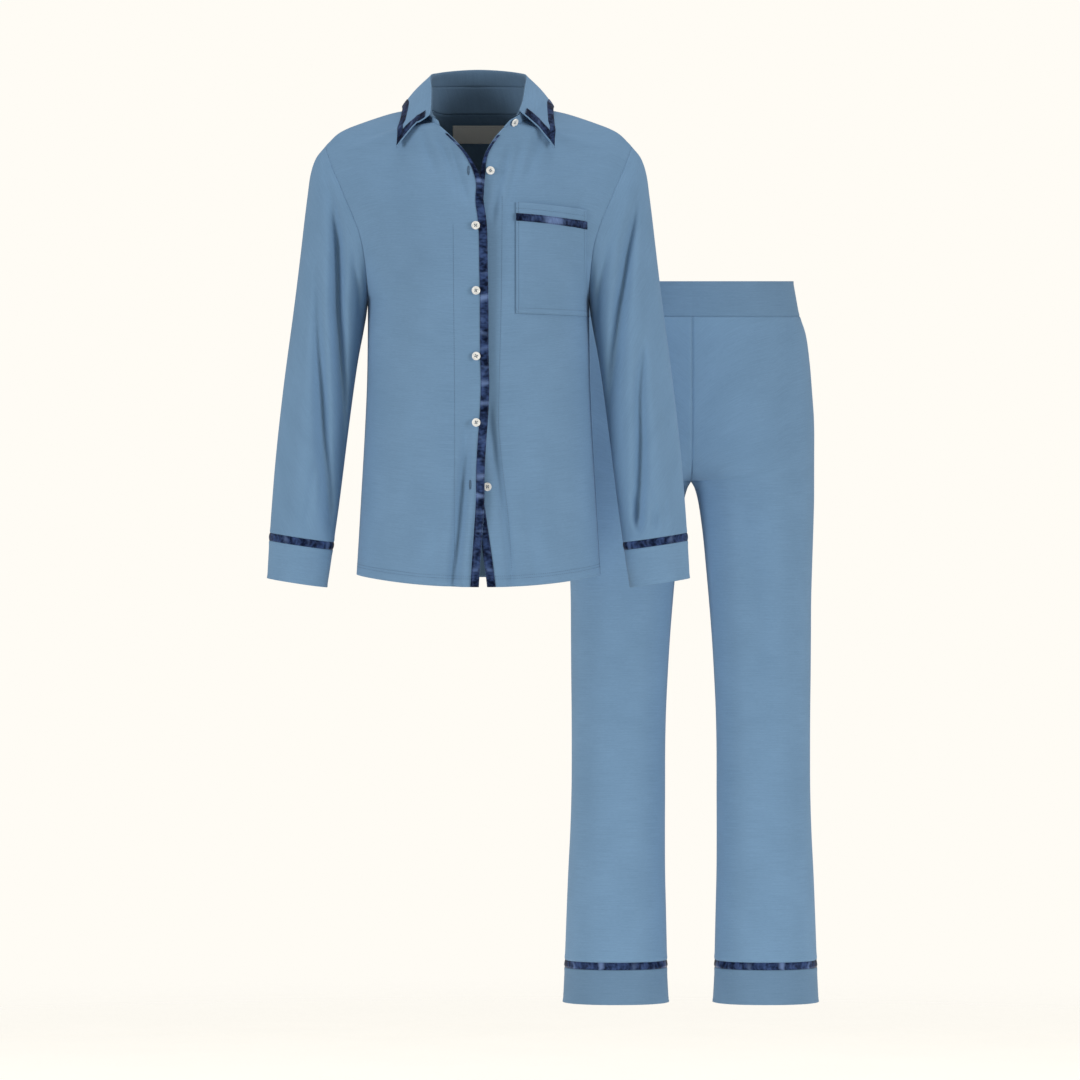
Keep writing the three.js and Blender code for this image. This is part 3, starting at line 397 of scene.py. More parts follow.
class Wire:
    """An output socket of a material. Sums on it add Math nodes."""

    def __init__(self, tree, socket=None):
        self.tree, self.socket = tree, socket

    def node(self, kind, settings=(), sockets=(), out=0):
        """Adds a node: its settings first, then the values or links of its sockets."""
        made = self.tree.nodes.new(kind)
        for key, value in dict(settings).items():
            setattr(made, key, value)
        plug(made, dict(sockets))
        return Wire(self.tree, made.outputs[out])

    def sum(self, operation, a, b=0.0):
        return self.node("ShaderNodeMath", {"operation": operation}, {0: a, 1: b})

    __add__ = __radd__ = lambda self, other: self.sum("ADD", self, other)
    __mul__ = __rmul__ = lambda self, other: self.sum("MULTIPLY", self, other)
    __sub__ = lambda self, other: self.sum("SUBTRACT", self, other)
    __rsub__ = lambda self, other: self.sum("SUBTRACT", other, self)

    def mix(self, a, b):
        """Colour a where this is 0, colour b where it is 1."""
        settings = {"data_type": "RGBA", "clamp_factor": True}
        return self.node("ShaderNodeMix", settings, {0: self, 6: a, 7: b}, out=2)

    def noise(self, x, y, z=1, detail=1.0, roughness=0.5):
        """Noise on the vector, times a size for each of its three ways."""
        sized = self.node("ShaderNodeVectorMath", {"operation": "MULTIPLY"}, {0: self, 1: (x, y, z)})
        sockets = {"Vector": sized, "Scale": 1.0, "Detail": detail, "Roughness": roughness}
        return self.node("ShaderNodeTexNoise", {}, sockets)

    def spaced(self, low, high):
        """0 at low, 1 at high, and smooth between."""
        settings = {"interpolation_type": "SMOOTHSTEP"}
        return self.node("ShaderNodeMapRange", settings, {0: self, 1: low, 2: high})

    def bump(self, strength, distance):
        sockets = {"Strength": strength, "Distance": distance, "Height": self}
        return self.node("ShaderNodeBump", {}, sockets)


def plug(node, sockets):
    """Gives the sockets of a node their values, or their links where the value is a wire."""
    for key, value in sockets.items():
        if isinstance(value, Wire):
            value.tree.links.new(value.socket, node.inputs[key])
        else:
            node.inputs[key].default_value = value


def material_of(name, coordinates):
    """A new material, its shader, and the wire of its texture coordinates."""
    material = bpy.data.materials.new(name)
    material.use_nodes = True
    tree = material.node_tree
    at = Wire(tree).node("ShaderNodeTexCoord", out=coordinates)
    return material, tree.nodes["Principled BSDF"], at


def tone(r, g, b, k=1.0):
    """Linear colour of an sRGB one, times k."""
    v = np.array([r, g, b]) / 255
    linear = np.where(v <= 0.04045, v / 12.92, ((v + 0.055) / 1.055) ** 2.4) * k
    return (*linear.tolist(), 1.0)


def jersey(name, k=1.0, grain=(26, 900)):
    """Fine matt knit: base blue with faint streaks, which are noise stretched along the grain, fine
    wales from a wave, and a soft nap that lightens towards the edges."""
    material, shader, uv = material_of(name, "UV")
    streak = uv.noise(*grain, detail=3.0, roughness=0.6)
    cloud = uv.noise(14, 14, detail=3.0)
    slub = uv.noise(180, 2400, detail=2.0)
    blend = (streak * 0.38 + cloud * 0.27 + slub * 0.35).spaced(0.3, 0.7)
    wales = {"Vector": uv, "Scale": 520.0, "Distortion": 0.6}
    wale = uv.node("ShaderNodeTexWave", {"bands_direction": "X"}, wales)
    plug(shader, {
        "Base Color": blend.mix(tone(105, 139, 171, k), tone(119, 154, 188, k)),
        "Normal": (streak * 0.35 + slub * 0.5 + wale * 0.3).bump(0.2, 0.0003),
        "Roughness": 0.72 + cloud * 0.12,
        "Specular IOR Level": 0.25,
        "Sheen Weight": 0.18,
        "Sheen Roughness": 0.5,
        "Sheen Tint": tone(190, 210, 230),
    })
    return material


def thread(name, r, g, b):
    """Spun sewing thread: its colour with a fine lighter and darker twist."""
    material, shader, at = material_of(name, "Object")
    twist = at.noise(2600, 2600, 2600).spaced(0.35, 0.65)
    plug(shader, {"Base Color": twist.mix(tone(r, g, b, 0.75), tone(r, g, b)), "Roughness": 0.6})
    return material


blue_thread = thread("blue thread", 92, 122, 152)
navy_thread = thread("navy thread", 18, 24, 52)
right_side = jersey("jersey right side")
# The wrong side is the reverse of the knit, its wales across. Its tone at 0.54 is painted shade that darkens
# every inside, such as the inside of the neck.
wrong_side_painted_shade = jersey("jersey wrong side", 0.54, grain=(800, 22))  # its wales show
doubled = jersey("jersey doubled", 0.8)  # two layers; the hem bands' jersey at 0.8 of the brightness


def cloth(node, P, N, rise, cut, widths=(), rests=(), look=right_side, **form):
    """Jersey on a grid raised by rise, in place of the solid named node."""
    raised = P + N * np.asarray(rise)[..., None]
    piece = surface(node + "_cloth", raised, N, look, wrong_side_painted_shade, **form)
    fit(piece, "jersey", node, cut=cut, widths=widths, rests=rests)


upper_front = half_panel(UPPER_EDGE, -1, -1, shoulder_top(-1), 2, FRONT_FOLDS, UPPER_RUNS)
under_front = half_panel(UNDER_EDGE, 1, -1, shoulder_top(1), 2, FRONT_FOLDS, UNDER_RUNS)
BODY_UP = steps((0, 10, 130), (10, ROWS, 95))
LEVEL = np.array([0, 0, 1])  # times a point: the upright middle line of the body, level with it


def locate(panel, x, z, s, row):
    """Share and row at which a panel passes x and z, by Newton steps on both from a first guess."""
    s, row = np.broadcast_arrays(s + 0 * x, row + 0 * x)
    for _ in range(14):
        p = panel(s, row)
        a = (panel(s + STEP, row) - p) / STEP
        b = (panel(s, row + STEP) - p) / STEP
        gx, gz = x - p[..., 0], z - p[..., 2]
        det = a[..., 0] * b[..., 2] - b[..., 0] * a[..., 2]
        det = np.where(np.abs(det) < 1e-3, 1e-3, det)
        ds = (gx * b[..., 2] - gz * b[..., 0]) / det
        dr = (gz * a[..., 0] - gx * a[..., 2]) / det
        s = np.clip(s + np.clip(ds, -0.2, 0.2), 0, 0.995)
        row = np.clip(row + np.clip(dr, -2, 2), 0, ROWS - 0.01)
    return s, row


def skin(panel, s, row):
    """Point and outward normal of a front panel."""
    p = panel(s, row)
    n = unit(np.cross(panel(s + STEP, row) - p, panel(s, row + STEP) - p))
    return p, np.where(n[..., 1:2] > 0, -n, n)


# name, panel, z and x of the line that holds the facing down, cut, widths at heights above the hem
FRONTS = [
    ("front_upper", upper_front,
     [(-672, -33), (-560, -33.5), (-420, -33), (-280, -34), (-160, -35)],
     (0.255, 0.77), [(0, 252), (340, 240), (515, 195), (715, 155)]),
    ("front_under", under_front,
     [(-672, 48.5), (-590, 44), (-535, 38), (-480, 32), (-440, 29), (-380, 30), (-250, 33), (-120, 34)],
     (0.24, 0.77), [(0, 235), (340, 235), (515, 195), (715, 155)]),
]
HEM_LINES = (11.5, 15.5)  # two rows of stitches above the hem
for name, panel, facing_line, cut, widths in FRONTS:
    s, row = np.meshgrid(spread(80), BODY_UP)
    P = panel(s, row)
    N = facing(P, P * LEVEL)
    across, up = run(P)
    rise = 0.5 * seam(across[:, -1:] - across) + 0.5 * seam(up[-1] - up)
    cloth(name, P, N, rise, cut, widths)
    P = P + N * rise[..., None]
    lines = [at_height(P, N, d) for d in HEM_LINES]
    z = np.linspace(facing_line[0][0], facing_line[-1][0], 240)
    x = curve(facing_line, z)[..., 0]
    lines.append(skin(panel, *locate(panel, x, z, 0.2, np.interp(z, [-675, -265, -120], [0, 10, 16]))))
    fit(stitches(name + "_stitches", lines, blue_thread), "jersey")


# Back of the top
# One panel, sewn to both fronts at the shoulders and sides, and to the collar stand at the neck.
# It hangs from the shoulder blades, hollow in the small of the back.

# row, x, y, z of its middle
BACK_LINE = [
    (0, 0, 112, -665),
    (2, 0, 108, -584),
    (4, 0, 102, -504),
    (6, 0, 99, -424),
    (8, 0, 103, -344),
    (10, 0, 110, -265),
    (13, 0, 114, -198),
    (16, 0, 109, -135),
    (19, 0, 93, -76),
    (21, 0, 72, -36),
    (22, 0, 60, -4),
]
# place along the back of the neck, x, y, z
BACK_NECK = [
    (0, 0, 60, -4),
    (1, 27, 57, -4),
    (2, 53, 43, -4),
    (3, 76, 0, 5),
]
BACK_FOLDS = [
    (-40, -330, -66, -650, 5, 6, 22),
    (46, -360, 60, -655, -4, 5, 24),
    (-120, -150, -104, -330, 6, 4, 20),
    (118, -140, 106, -320, -6, 4, 20),
]
BACK_RUNS = [
    [(-700, -54, 8, 9), (-640, -47, 10, 9), (-560, -40, 8, 8), (-480, -37, 4, 7), (-430, -36, 0, 6)],
    [(-700, -102, 4, 11), (-620, -94, 6, 11), (-520, -86, 3, 10), (-450, -84, 0, 10)],
    [(-700, 42, 5, 8), (-650, 48, 9, 9), (-570, 53, 9, 8), (-480, 52, 5, 7), (-400, 47, 0, 7)],
    [(-700, 108, 5, 11), (-600, 100, 5, 11), (-500, 96, 0, 10)],
    [(-430, -132, 0, 11), (-340, -122, 5, 11), (-250, -118, 5, 10), (-160, -126, 0, 9)],
    [(-400, 136, 0, 11), (-300, 124, 6, 10), (-210, 122, 5, 10), (-140, 132, 0, 9)],
]
NECK_SHARE = 0.35  # share of each half of the top row that lies on the neck seam


def back_top(side):
    """Top of one half of the back: the neck seam, then the shoulder seam."""

    def line(s):
        neck = curve(BACK_NECK, np.clip(s / NECK_SHARE, 0, 1) * 3) * np.array([side, 1, 1])
        along = shoulder_top(side)(np.clip((s - NECK_SHARE) / (1 - NECK_SHARE), 0, 1))
        return np.where((s < NECK_SHARE)[..., None], neck, along)

    return line


back_left = half_panel(BACK_LINE, -1, 1, back_top(-1), 3, BACK_FOLDS, BACK_RUNS)
back_right = half_panel(BACK_LINE, 1, 1, back_top(1), 3, BACK_FOLDS, BACK_RUNS)


def back_at(t, row):
    """The whole back, where t runs from -1 at the left side seam over 0 to 1 at the right."""
    s = np.abs(t)
    return np.where((t < 0)[..., None], back_left(s, row), back_right(s, row))


half = spread(68)
t, row = np.meshgrid(np.concatenate([-half[::-1], half[1:]]), BODY_UP)
P = back_at(t, row)
N = facing(P, P * LEVEL)
across, up = run(P)
rise = seam(across) + seam(across[:, -1:] - across) + seam(up[-1] - up)
widths = [(0, 470), (170, 440), (345, 425), (505, 360), (580, 400), (670, 200)]
cloth("back", P, N, rise, (0.47, 0.71), widths)
fit(stitches("back_stitches", [at_height(P, N, d) for d in HEM_LINES], blue_thread), "jersey")


# Sleeves
# A one-seam sleeve is set into each armhole, its seam under the arm. A strip of satin is let in
# above each cuff, and the cuff is a plain doubled band.

# row, outer x, outer z, inner x, inner z, half depth, y of its middle
SLEEVE_RING = [
    (0, 217, -50, 157, -272, 58, 0),
    (1, 230.5, -67, 157.8, -279, 58, 0),
    (2, 238.3, -90, 158.6, -286, 58, 0),
    (3, 242.6, -120, 159.6, -293, 58, 0),
    (4, 247.2, -157, 160.8, -300, 58, 0),
    (5, 252.4, -202, 162.4, -309, 58.5, -1),
    (6, 258.4, -252, 164.6, -321, 58.5, -2),
    (7, 264.6, -300, 167.8, -337, 57.5, -3),
    (8, 270.2, -341, 171.8, -360, 55.5, -4.5),
    (9, 275.6, -382, 176.6, -393, 53, -6),
    (10, 280.6, -424, 181.8, -432, 50.5, -8),
    (11, 285.2, -466, 187.2, -474, 48, -10),
    (12, 289.2, -508, 192.6, -518, 46, -12),
    (13, 292.6, -550, 198.2, -562, 44.5, -13.5),
    (14, 294.8, -580, 202.6, -593, 43.5, -14.5),
    (15, 295.8, -598, 205.2, -611.5, 43, -15),
    (16, 296.8, -609, 206.8, -622.3, 43, -15.5),
    (17, 298.4, -636, 210.6, -649, 42.6, -16),
    (18, 299.8, -662.5, 214.8, -675.5, 42.2, -16.5),
]
SLEEVE_FOLDS = {
    -1: [(-262, -330, -282, -590, 0, 2.5, 12), (-232, -505, -246, -600, 0, 2.5, 6)],
    1: [
        (236, -250, 286, -560, -3, 3.5, 9),
        (222, -545, 228, -600, 0, 2.5, 5),
        (244, -540, 250, -600, 0, 2.0, 5),
        (262, -548, 266, -600, 0, 1.6, 5),
    ],
}
# z, x, depth, width of drawn folds, foot first
SLEEVE_RUNS = {
    -1: [
        [(-560, -198, 0, 8), (-500, -195, 14, 8), (-452, -192, 20, 8), (-400, -193, 22, 8),
         (-360, -195, 23, 8), (-320, -197, 24, 8.5), (-280, -199, 24, 8.5), (-215, -199, 22, 8.5),
         (-170, -200, 20, 8), (-130, -205, 15, 7), (-95, -213, 8, 6), (-62, -222, 0, 5)],
        [(-606, -208, 0, 8), (-572, -211, 15, 8), (-520, -214, 17, 8.5), (-466, -219, 18, 9),
         (-400, -222, 18, 9), (-345, -225, 15, 9), (-290, -227, 10, 8.5), (-235, -228, 5, 8),
         (-180, -230, 0, 8)],
        [(-330, -170, 0, 7), (-290, -168, 5, 7), (-235, -172, 6, 7), (-180, -180, 4, 7),
         (-140, -190, 0, 6)],
    ],
    1: [
        [(-500, 192, 0, 10), (-450, 186, 12, 10), (-410, 186, 17, 10), (-360, 192, 19, 10),
         (-320, 196, 19, 9.5), (-280, 200, 19, 9), (-240, 206, 18, 8.5), (-200, 211, 16, 8),
         (-160, 218, 11, 7), (-130, 223, 5, 6), (-105, 225, 0, 5)],
        [(-608, 226, 0, 8), (-572, 227, 17, 8), (-530, 229, 17, 8.5), (-466, 230, 16, 8.5),
         (-400, 229, 13, 8.5), (-350, 232, 10, 8.5), (-310, 234, 0, 8)],
        [(-606, 248, 0, 6), (-580, 250, 5, 6), (-545, 251, 0, 6)],
        [(-340, 172, 0, 7), (-290, 168, 5, 7), (-235, 174, 6, 7), (-180, 184, 4, 7), (-130, 196, 0, 6)],
    ],
}
SLEEVE_BACK_FOLDS = [
    (196, -190, 222, -560, 8, 6, 15),
    (236, -150, 262, -470, -4, 4, 15),
]
SLEEVE_BACK_RUNS = [
    [(-596, 218, 0, 9), (-520, 213, 9, 9), (-420, 208, 12, 9), (-320, 204, 12, 9), (-220, 208, 10, 9),
     (-140, 216, 4, 8), (-100, 220, 0, 7)],
    [(-604, 242, 0, 8), (-560, 246, 7, 8), (-480, 247, 7, 9), (-390, 244, 0, 9)],
]
CAP_ROWS = 7  # the armhole's own shape has died out by this row
UNDERARM = 10  # its row up the side seam
SLEEVE_END, TAPE_END, CUFF_END = 15, 16, 18  # rows


def armhole(side, turn):
    """Armhole seam, where turn runs from 0 at the underarm up the front to 0.5 and down behind."""
    front = turn <= 0.5
    e = curve(SIDE_LINE, UNDERARM + 2 * (ROWS - UNDERARM) * np.where(front, turn, 1 - turn))
    return np.stack([e[..., 0] * side, np.where(front, -e[..., 2], e[..., 3]), e[..., 1]], -1)


def sleeve(side, turn, row):
    """Tube whose rings are ellipses between an inner and an outer edge, led from the armhole over
    its first rows, with troughs down its front and its back."""

    def ring(at):
        r = curve(SLEEVE_RING, at)
        share = (1 - np.cos(2 * np.pi * turn)) / 2
        x = (r[..., 2] + (r[..., 0] - r[..., 2]) * share) * side
        z = r[..., 3] + (r[..., 1] - r[..., 3]) * share
        return np.stack([x, r[..., 5] - r[..., 4] * np.sin(2 * np.pi * turn), z], -1)

    keep = np.clip(1 - row / CAP_ROWS, 0, 1) ** 2
    q = ring(row) + (armhole(side, turn) - ring(row * 0)) * keep[..., None]
    x, z = q[..., 0], q[..., 2]
    front = np.sin(2 * np.pi * turn)
    held = ease(0, 3, row) * (1 - ease(13.5, SLEEVE_END, row))
    ahead = troughs(SLEEVE_FOLDS[side], x, z) + runs(SLEEVE_RUNS[side], x, z) + ripple(x, z, 0.8)
    behind = troughs(SLEEVE_BACK_FOLDS, x * side, z) + runs(SLEEVE_BACK_RUNS, x * side, z)
    pressed = np.where(front > 0, ahead, 0) - np.where(front < 0, behind, 0)
    q[..., 1] += pressed * np.sqrt(np.abs(front)) * held
    return q


def tube(side, levels):
    """Turns and rows of a stretch of sleeve, its grid, its normals and the distance up it."""
    turn, row = np.meshgrid(np.arange(112) / 112, levels)
    P = sleeve(side, turn, row)
    r = curve(SLEEVE_RING, row)
    middle = np.stack([(r[..., 0] + r[..., 2]) / 2 * side, r[..., 5], (r[..., 1] + r[..., 3]) / 2], -1)
    return turn, row, P, facing(P, middle, wrap=True), run(P)[1]


def satin(name, way=1, k=1.0, painted_highlight=None):
    """Glossy navy satin, drawn up by its stitching into small puckers, which are noise stretched across
    the tape, with the fine grain of the weft. Its colour holds painted shade and painted highlights:
    it is dark where the puckers would turn away and lighter on them, with scattered lavender patches
    of painted gleam. Its way is 1 where the tape runs up its grid and -1 where it runs round it. Given
    a place and half length in metres along it, a painted highlight is added there: 1 - |v - place| / half."""
    material, shader, uv = material_of(name, "UV")
    pucker = uv.noise(*(150, 230)[::way])
    patch = uv.noise(*(40, 46)[::way], roughness=0.4)
    weft = uv.noise(1500, 1500, detail=2.0)
    # Painted shade: noise darkens the tape where its puckers would turn away and lightens it on them.
    painted_shade = (pucker * 0.45 + patch * 0.55).spaced(0.37, 0.68)
    # Painted highlights: scattered lavender patches of gleam.
    painted_gleam = uv.noise(*(22, 60)[::way], roughness=0.4).spaced(0.53, 0.78) * 0.8
    # A painted highlight at a given place along the tape.
    if painted_highlight:
        off = uv.node("ShaderNodeSeparateXYZ", {}, {0: uv}, out=1) - painted_highlight[0]
        near = (1.0 - off.sum("ABSOLUTE", off) * (1 / painted_highlight[1])).spaced(0.0, 0.7)
        painted_gleam = painted_gleam.sum("MAXIMUM", painted_gleam * 0.4, near * (0.45 + pucker * 0.8))
    navy = painted_shade.mix(tone(8, 15, 36, k), tone(58, 78, 122, k))
    plug(shader, {
        "Base Color": painted_gleam.mix(navy, tone(120, 146, 194, k)),
        "Normal": (pucker * 2.0 + weft * 0.15).bump(0.32, 0.001),
        "Roughness": 0.3 + patch * 0.16,
        "Specular IOR Level": 0.2,
        "Specular Tint": tone(140, 168, 235),
    })
    return material


navy_satin = satin("navy satin round a sleeve or leg", -1)


def let_in(node, P, N, share, turn, puckers, cut, wall=WALL):
    """Satin let in round a tube, from its share up the strip and its turn. Between its two seams it
    swells by 0.9 · sqrt(sin(pi · share)), with uneven puckers all round."""
    wave = np.sin(2 * np.pi * turn * puckers + 3 * np.sin(2 * np.pi * turn * 3))
    swell = 0.9 * np.sin(np.pi * share) ** 0.5 * (1 + 0.3 * wave)
    piece = surface(node + "_satin", P + N * swell[..., None], N, navy_satin, wrap=True, wall=wall)
    fit(piece, "satin", node, cut=cut)


def rolled(d, height=0.5, width=4):
    """Height of a folded edge at distance d from it, height · exp(-(d / width)²)."""
    return height * np.exp(-((d / width) ** 2))


SLEEVE_WIDTHS = [(0, 280), (200, 325), (345, 375), (420, 300), (500, 180), (560, 50)]
BAND = 1.6  # wall of a doubled band
for side, tag in ((-1, "left"), (1, "right")):
    turn, row, P, N, up = tube(side, steps((0, 8, 100), (8, SLEEVE_END, 90)))
    rise = 0.3 * seam(up) + seam(up[-1] - up)
    cloth(f"sleeve_{tag}", P, N, rise, (0.38, 0.56), SLEEVE_WIDTHS, wrap=True)
    turn, row, P, N, up = tube(side, np.linspace(SLEEVE_END, TAPE_END, 9))
    let_in(f"cuff_tape_{tag}", P, N, row - SLEEVE_END, turn, 31, (0.28, 0.0112))
    turn, row, P, N, up = tube(side, np.linspace(TAPE_END, CUFF_END, 40))
    cloth(f"cuff_{tag}", P, N, seam(up) + rolled(up[-1] - up), (0.275, 0.054), wrap=True, wall=BAND)


# Collar
# A shirt collar on a stand: the stand is a narrow band on the neck seam, and the leaf turns over
# it and lies open on the fronts. Its free edges carry a satin tape.

# station from the left front end round the back to the right one, x, y, z of the stand's top
STAND_LINE = [
    (0, -57, -83, -16),
    (1, -67, -57, -5),
    (2, -71, -27, 14),
    (3, -71, 5, 32),
    (4, -56, 44, 34.5),
    (5, -28, 60, 35),
    (6, 0, 64, 35),
    (7, 28, 60, 35),
    (8, 56, 44, 34.5),
    (9, 71, 5, 32),
    (10, 70, -31, 16),
    (11, 62, -61, -3),
    (12, 45, -88, -16),
]
# station, roll x, y, z, edge x, y, z
COLLAR_LINE = [
    (0, -67.5, -70, -5, -115.5, -71, -52.5),
    (1, -66.5, -50, 11, -112, -50, -23),
    (2, -66.5, -24, 31, -108, -22, 1),
    (3, -67.5, 8, 50, -107, 8, 5),
    (4, -56, 42, 55, -86, 54, -4),
    (5, -30, 60, 58.5, -48, 80, -12),
    (6, 0, 66, 60, 0, 86, -14),
    (7, 30, 60, 58.5, 48, 80, -12),
    (8, 56, 42, 55, 86, 54, -4),
    (9, 67.5, 8, 50, 106, 8, 5),
    (10, 66, -24, 34, 106.5, -22, 1),
    (11, 63, -48, 15, 107.5, -50, -24),
    (12, 58, -70, 0, 107.5, -71, -53.5),
]
LEAF_START, LEAF_END = 0.4, 11.45  # the leaf stops short of both ends of the stand
LEAF_REST = 4.6  # outer face of the leaf over the fronts
CAD_WALL = 1.7  # wall of the solids
LEAF_SMOOTH = 120  # rounds that spread a lift along the leaf


def neck(q):
    """Neck seam at a station, on the edges of the fronts and the back."""
    left = upper_front(q * 0, 19 + np.clip(q, 0, 3))
    right = under_front(q * 0, 22 - np.clip(q - 9, 0, 3))
    behind = back_at((q - 6) / 3 * NECK_SHARE, q * 0 + ROWS)
    return np.where((q < 3)[..., None], left, np.where((q > 9)[..., None], right, behind))


def clear_of_fronts(P):
    """Points lifted off the fronts along their normals until they are LEAF_REST from them."""
    out = P.copy()
    for panel, mine in ((upper_front, P[..., 0] < 0), (under_front, P[..., 0] >= 0)):
        s, row = locate(panel, P[..., 0], P[..., 2], 0.4, 19.0)
        p, n = skin(panel, s, row)
        miss = np.hypot(p[..., 0] - P[..., 0], p[..., 2] - P[..., 2])
        short = LEAF_REST - np.sum((P - p) * n, -1)
        lift = np.where(mine & (miss < 2) & (P[..., 1] < 0), np.clip(short, 0, 30), 0)
        for _ in range(LEAF_SMOOTH):
            wide = np.pad(lift, ((1, 1), (1, 1)), "edge")
            beside = 0.22 * (wide[1:-1, 2:] + wide[1:-1, :-2]) + 0.06 * (wide[2:, 1:-1] + wide[:-2, 1:-1])
            lift = np.maximum(lift, 0.44 * lift + beside)
        out += n * lift[..., None]
    return out


def leaf_at(q_share, level):
    """Collar leaf: station share 0 to 12 along it, level 0 to 8 from its foot inside the stand, up
    to the roll and down to the free edge. Levels are smooth curves through nine guide lines."""
    line = curve(COLLAR_LINE, q_share)
    roll, edge = line[..., :3], line[..., 3:]
    out = unit((edge - roll) * np.array([1, 1, 0]))
    up = np.array([0, 0, 1.0])
    q = LEAF_START + (LEAF_END - LEAF_START) * q_share / 12
    clear = 0.2 + 2.0 * ease(3.5, 6, np.abs(q - 6))
    foot = curve(STAND_LINE, q) - out * CAD_WALL * 0.9 + up * clear[..., None]
    inside = roll - out * CAD_WALL - up * 3.2
    over = roll + out * 3.6 - up * 2.6
    lines = [foot, (foot + inside) / 2, inside, roll + out * 0.8, over]
    for t in (0.22, 0.45, 0.7, 1.0):
        bulge = 2.1 * np.sin(np.pi * t)
        lines.append(over + (edge - over) * t + out * bulge + up * bulge)
    G = np.stack(lines, 0)
    slope = np.gradient(G, axis=0)
    i = np.clip(np.floor(level).astype(int), 0, 7)
    r, c = np.indices(i.shape)
    t = (level - i)[..., None]
    return cubic(G[i, r, c], G[i + 1, r, c], slope[i, r, c], slope[i + 1, r, c], t)


def paint(piece, material, faces):
    """Gives the marked faces of a piece a second material."""
    piece.data.materials.append(material)
    piece.data.polygons.foreach_set("material_index", faces.reshape(-1).astype(np.int32))


q, v = np.meshgrid(np.linspace(0, 12, 150), np.linspace(0, 1, 16))
P = neck(q) + (curve(STAND_LINE, q) - neck(q)) * v[..., None]
cloth("collar_stand", P, facing(P, P * LEVEL), 0, (0.42, 0.04), [(0, 415), (28, 415)], wall=1.4)

LEAF_LEVELS = steps((0, 2, 8), (2, 4, 14), (4, 8, 30))
q, level = np.meshgrid(np.linspace(0, 12, 180), LEAF_LEVELS)
LEAF = leaf_at(q, level)
low = LEAF_LEVELS > 4
LEAF[low] = clear_of_fronts(LEAF[low])
LEAF_N = facing(LEAF, LEAF * np.array([0.8, 0.8, 1]) - np.array([0, 0, 60]))
piece = surface("collar_leaf_cloth", LEAF, LEAF_N, right_side, wall=1.5)
# The leaf's foot, down inside the stand and seen within the neck, takes the wrong side's painted shade.
paint(piece, wrong_side_painted_shade, (level[:-1, :-1] + level[1:, 1:]) / 2 < 2.75)
widths = [(0, 385), (22, 400), (50, 450), (81, 490)]
fit(piece, "jersey", "collar_leaf", cut=(0.51, 0.104), widths=widths)


# Satin along the fronts and the collar
# Narrow satin tape is sewn flat along both front edges, over the collar's free edge and up its two
# front ends. It is drawn in a little by its stitching, so it puckers across.


def along_edge(G, N, first, last, across=9):
    """Points and normals of a cloth grid at even distances from its row 0, measured on the cloth."""
    far = travel(G)
    want = np.linspace(first, last, across)[:, None]
    col = np.arange(G.shape[1])[None]
    i = np.clip((far[None] < want[:, None]).sum(1) - 1, 0, len(G) - 2)
    t = np.clip((want - far[i, col]) / (far[i + 1, col] - far[i, col]), 0, 1)[..., None]
    return [np.swapaxes(A[i, col] * (1 - t) + A[i + 1, col] * t, 0, 1) for A in (G, N)]


tape_satin = satin("navy satin along an edge")
collar_satin = satin("navy satin round the collar", k=0.75)
PITCH = 7  # of the puckers


def strip(node, P, N, thick, cut, look=tape_satin, pucker=0.3):
    """Tape over a grid that lies on its ground, with outward normals N: a shallow arch across it,
    thick · (1 - (2t-1)^4), crossed by uneven puckers."""
    t = np.linspace(0, 1, P.shape[1])[None]
    length = travel(P[:, 0])[:, None]
    wave = np.sin(2 * np.pi * length / PITCH + 2.2 * np.sin(length / 17) + 1.3 * np.sin(length / 5.3 + 2 * t))
    lift = thick * (1 - (2 * t - 1) ** 4) + pucker * (0.6 + wave) * np.sin(np.pi * t) ** 0.7
    N = np.broadcast_to(N if N.ndim == 3 else N[:, None], P.shape)
    raised = P + N * lift[..., None]
    out = facing(raised, raised - N)
    name = node + "_satin"
    fit(surface(name, raised, out, look, wall=0.6, flat=P), "satin", node, cut=cut)
    sewn = [(raised[:, k] * 0.75 + raised[:, j] * 0.25, out[:, k]) for k, j in ((1, 0), (-2, -1))]
    fit(stitches(name + "_stitches", sewn, navy_thread, width=0.4), "satin")


EDGE = 1e-4  # share of a panel that the front tapes start from
for tag, panel in (("upper", upper_front), ("under", under_front)):
    row = steps((0, 10, 200), (10, 18.65, 150))
    a = panel(EDGE, row)
    width = 12 - 8 * ease(15.5, 18.5, row)  # it narrows under the collar
    s = np.full(row.shape, 0.05)
    for _ in range(12):
        far = np.linalg.norm(panel(s, row) - a, axis=-1)
        s = np.clip(s * width / np.maximum(far, 0.1), EDGE, 0.6)
    ground, n = skin(panel, EDGE + np.linspace(0, 1, 9) * s[:, None], row[:, None])
    strip(f"front_tape_{tag}", ground + n * 0.75, n, 0.5, (0.0125, 0.665))

free = np.flatnonzero(LEAF_LEVELS > 4)[::-1]
P, N = along_edge(LEAF[free][:, 1:-1], LEAF_N[free][:, 1:-1], 0.8, 13.8)
strip("collar_tape", P + N * 0.45, N, 0.35, (0.013, 0.503), collar_satin, 0.15)
for tag, step_in in (("left", 1), ("right", -1)):
    rows = np.flatnonzero(LEAF_LEVELS > 4.35)[:-5]
    end = [np.swapaxes(A[rows][:, ::step_in], 0, 1) for A in (LEAF, LEAF_N)]
    P, N = along_edge(*end, 1.6, 15.6)
    strip(f"collar_end_tape_{tag}", P + N * 0.8, N, 0.35, (0.014, 0.047), collar_satin, 0.15)


# Chest pocket
# A patch pocket on the front to the right in the view: turned in and stitched on three sides, its
# top hemmed, with a band of satin let in below the hem.

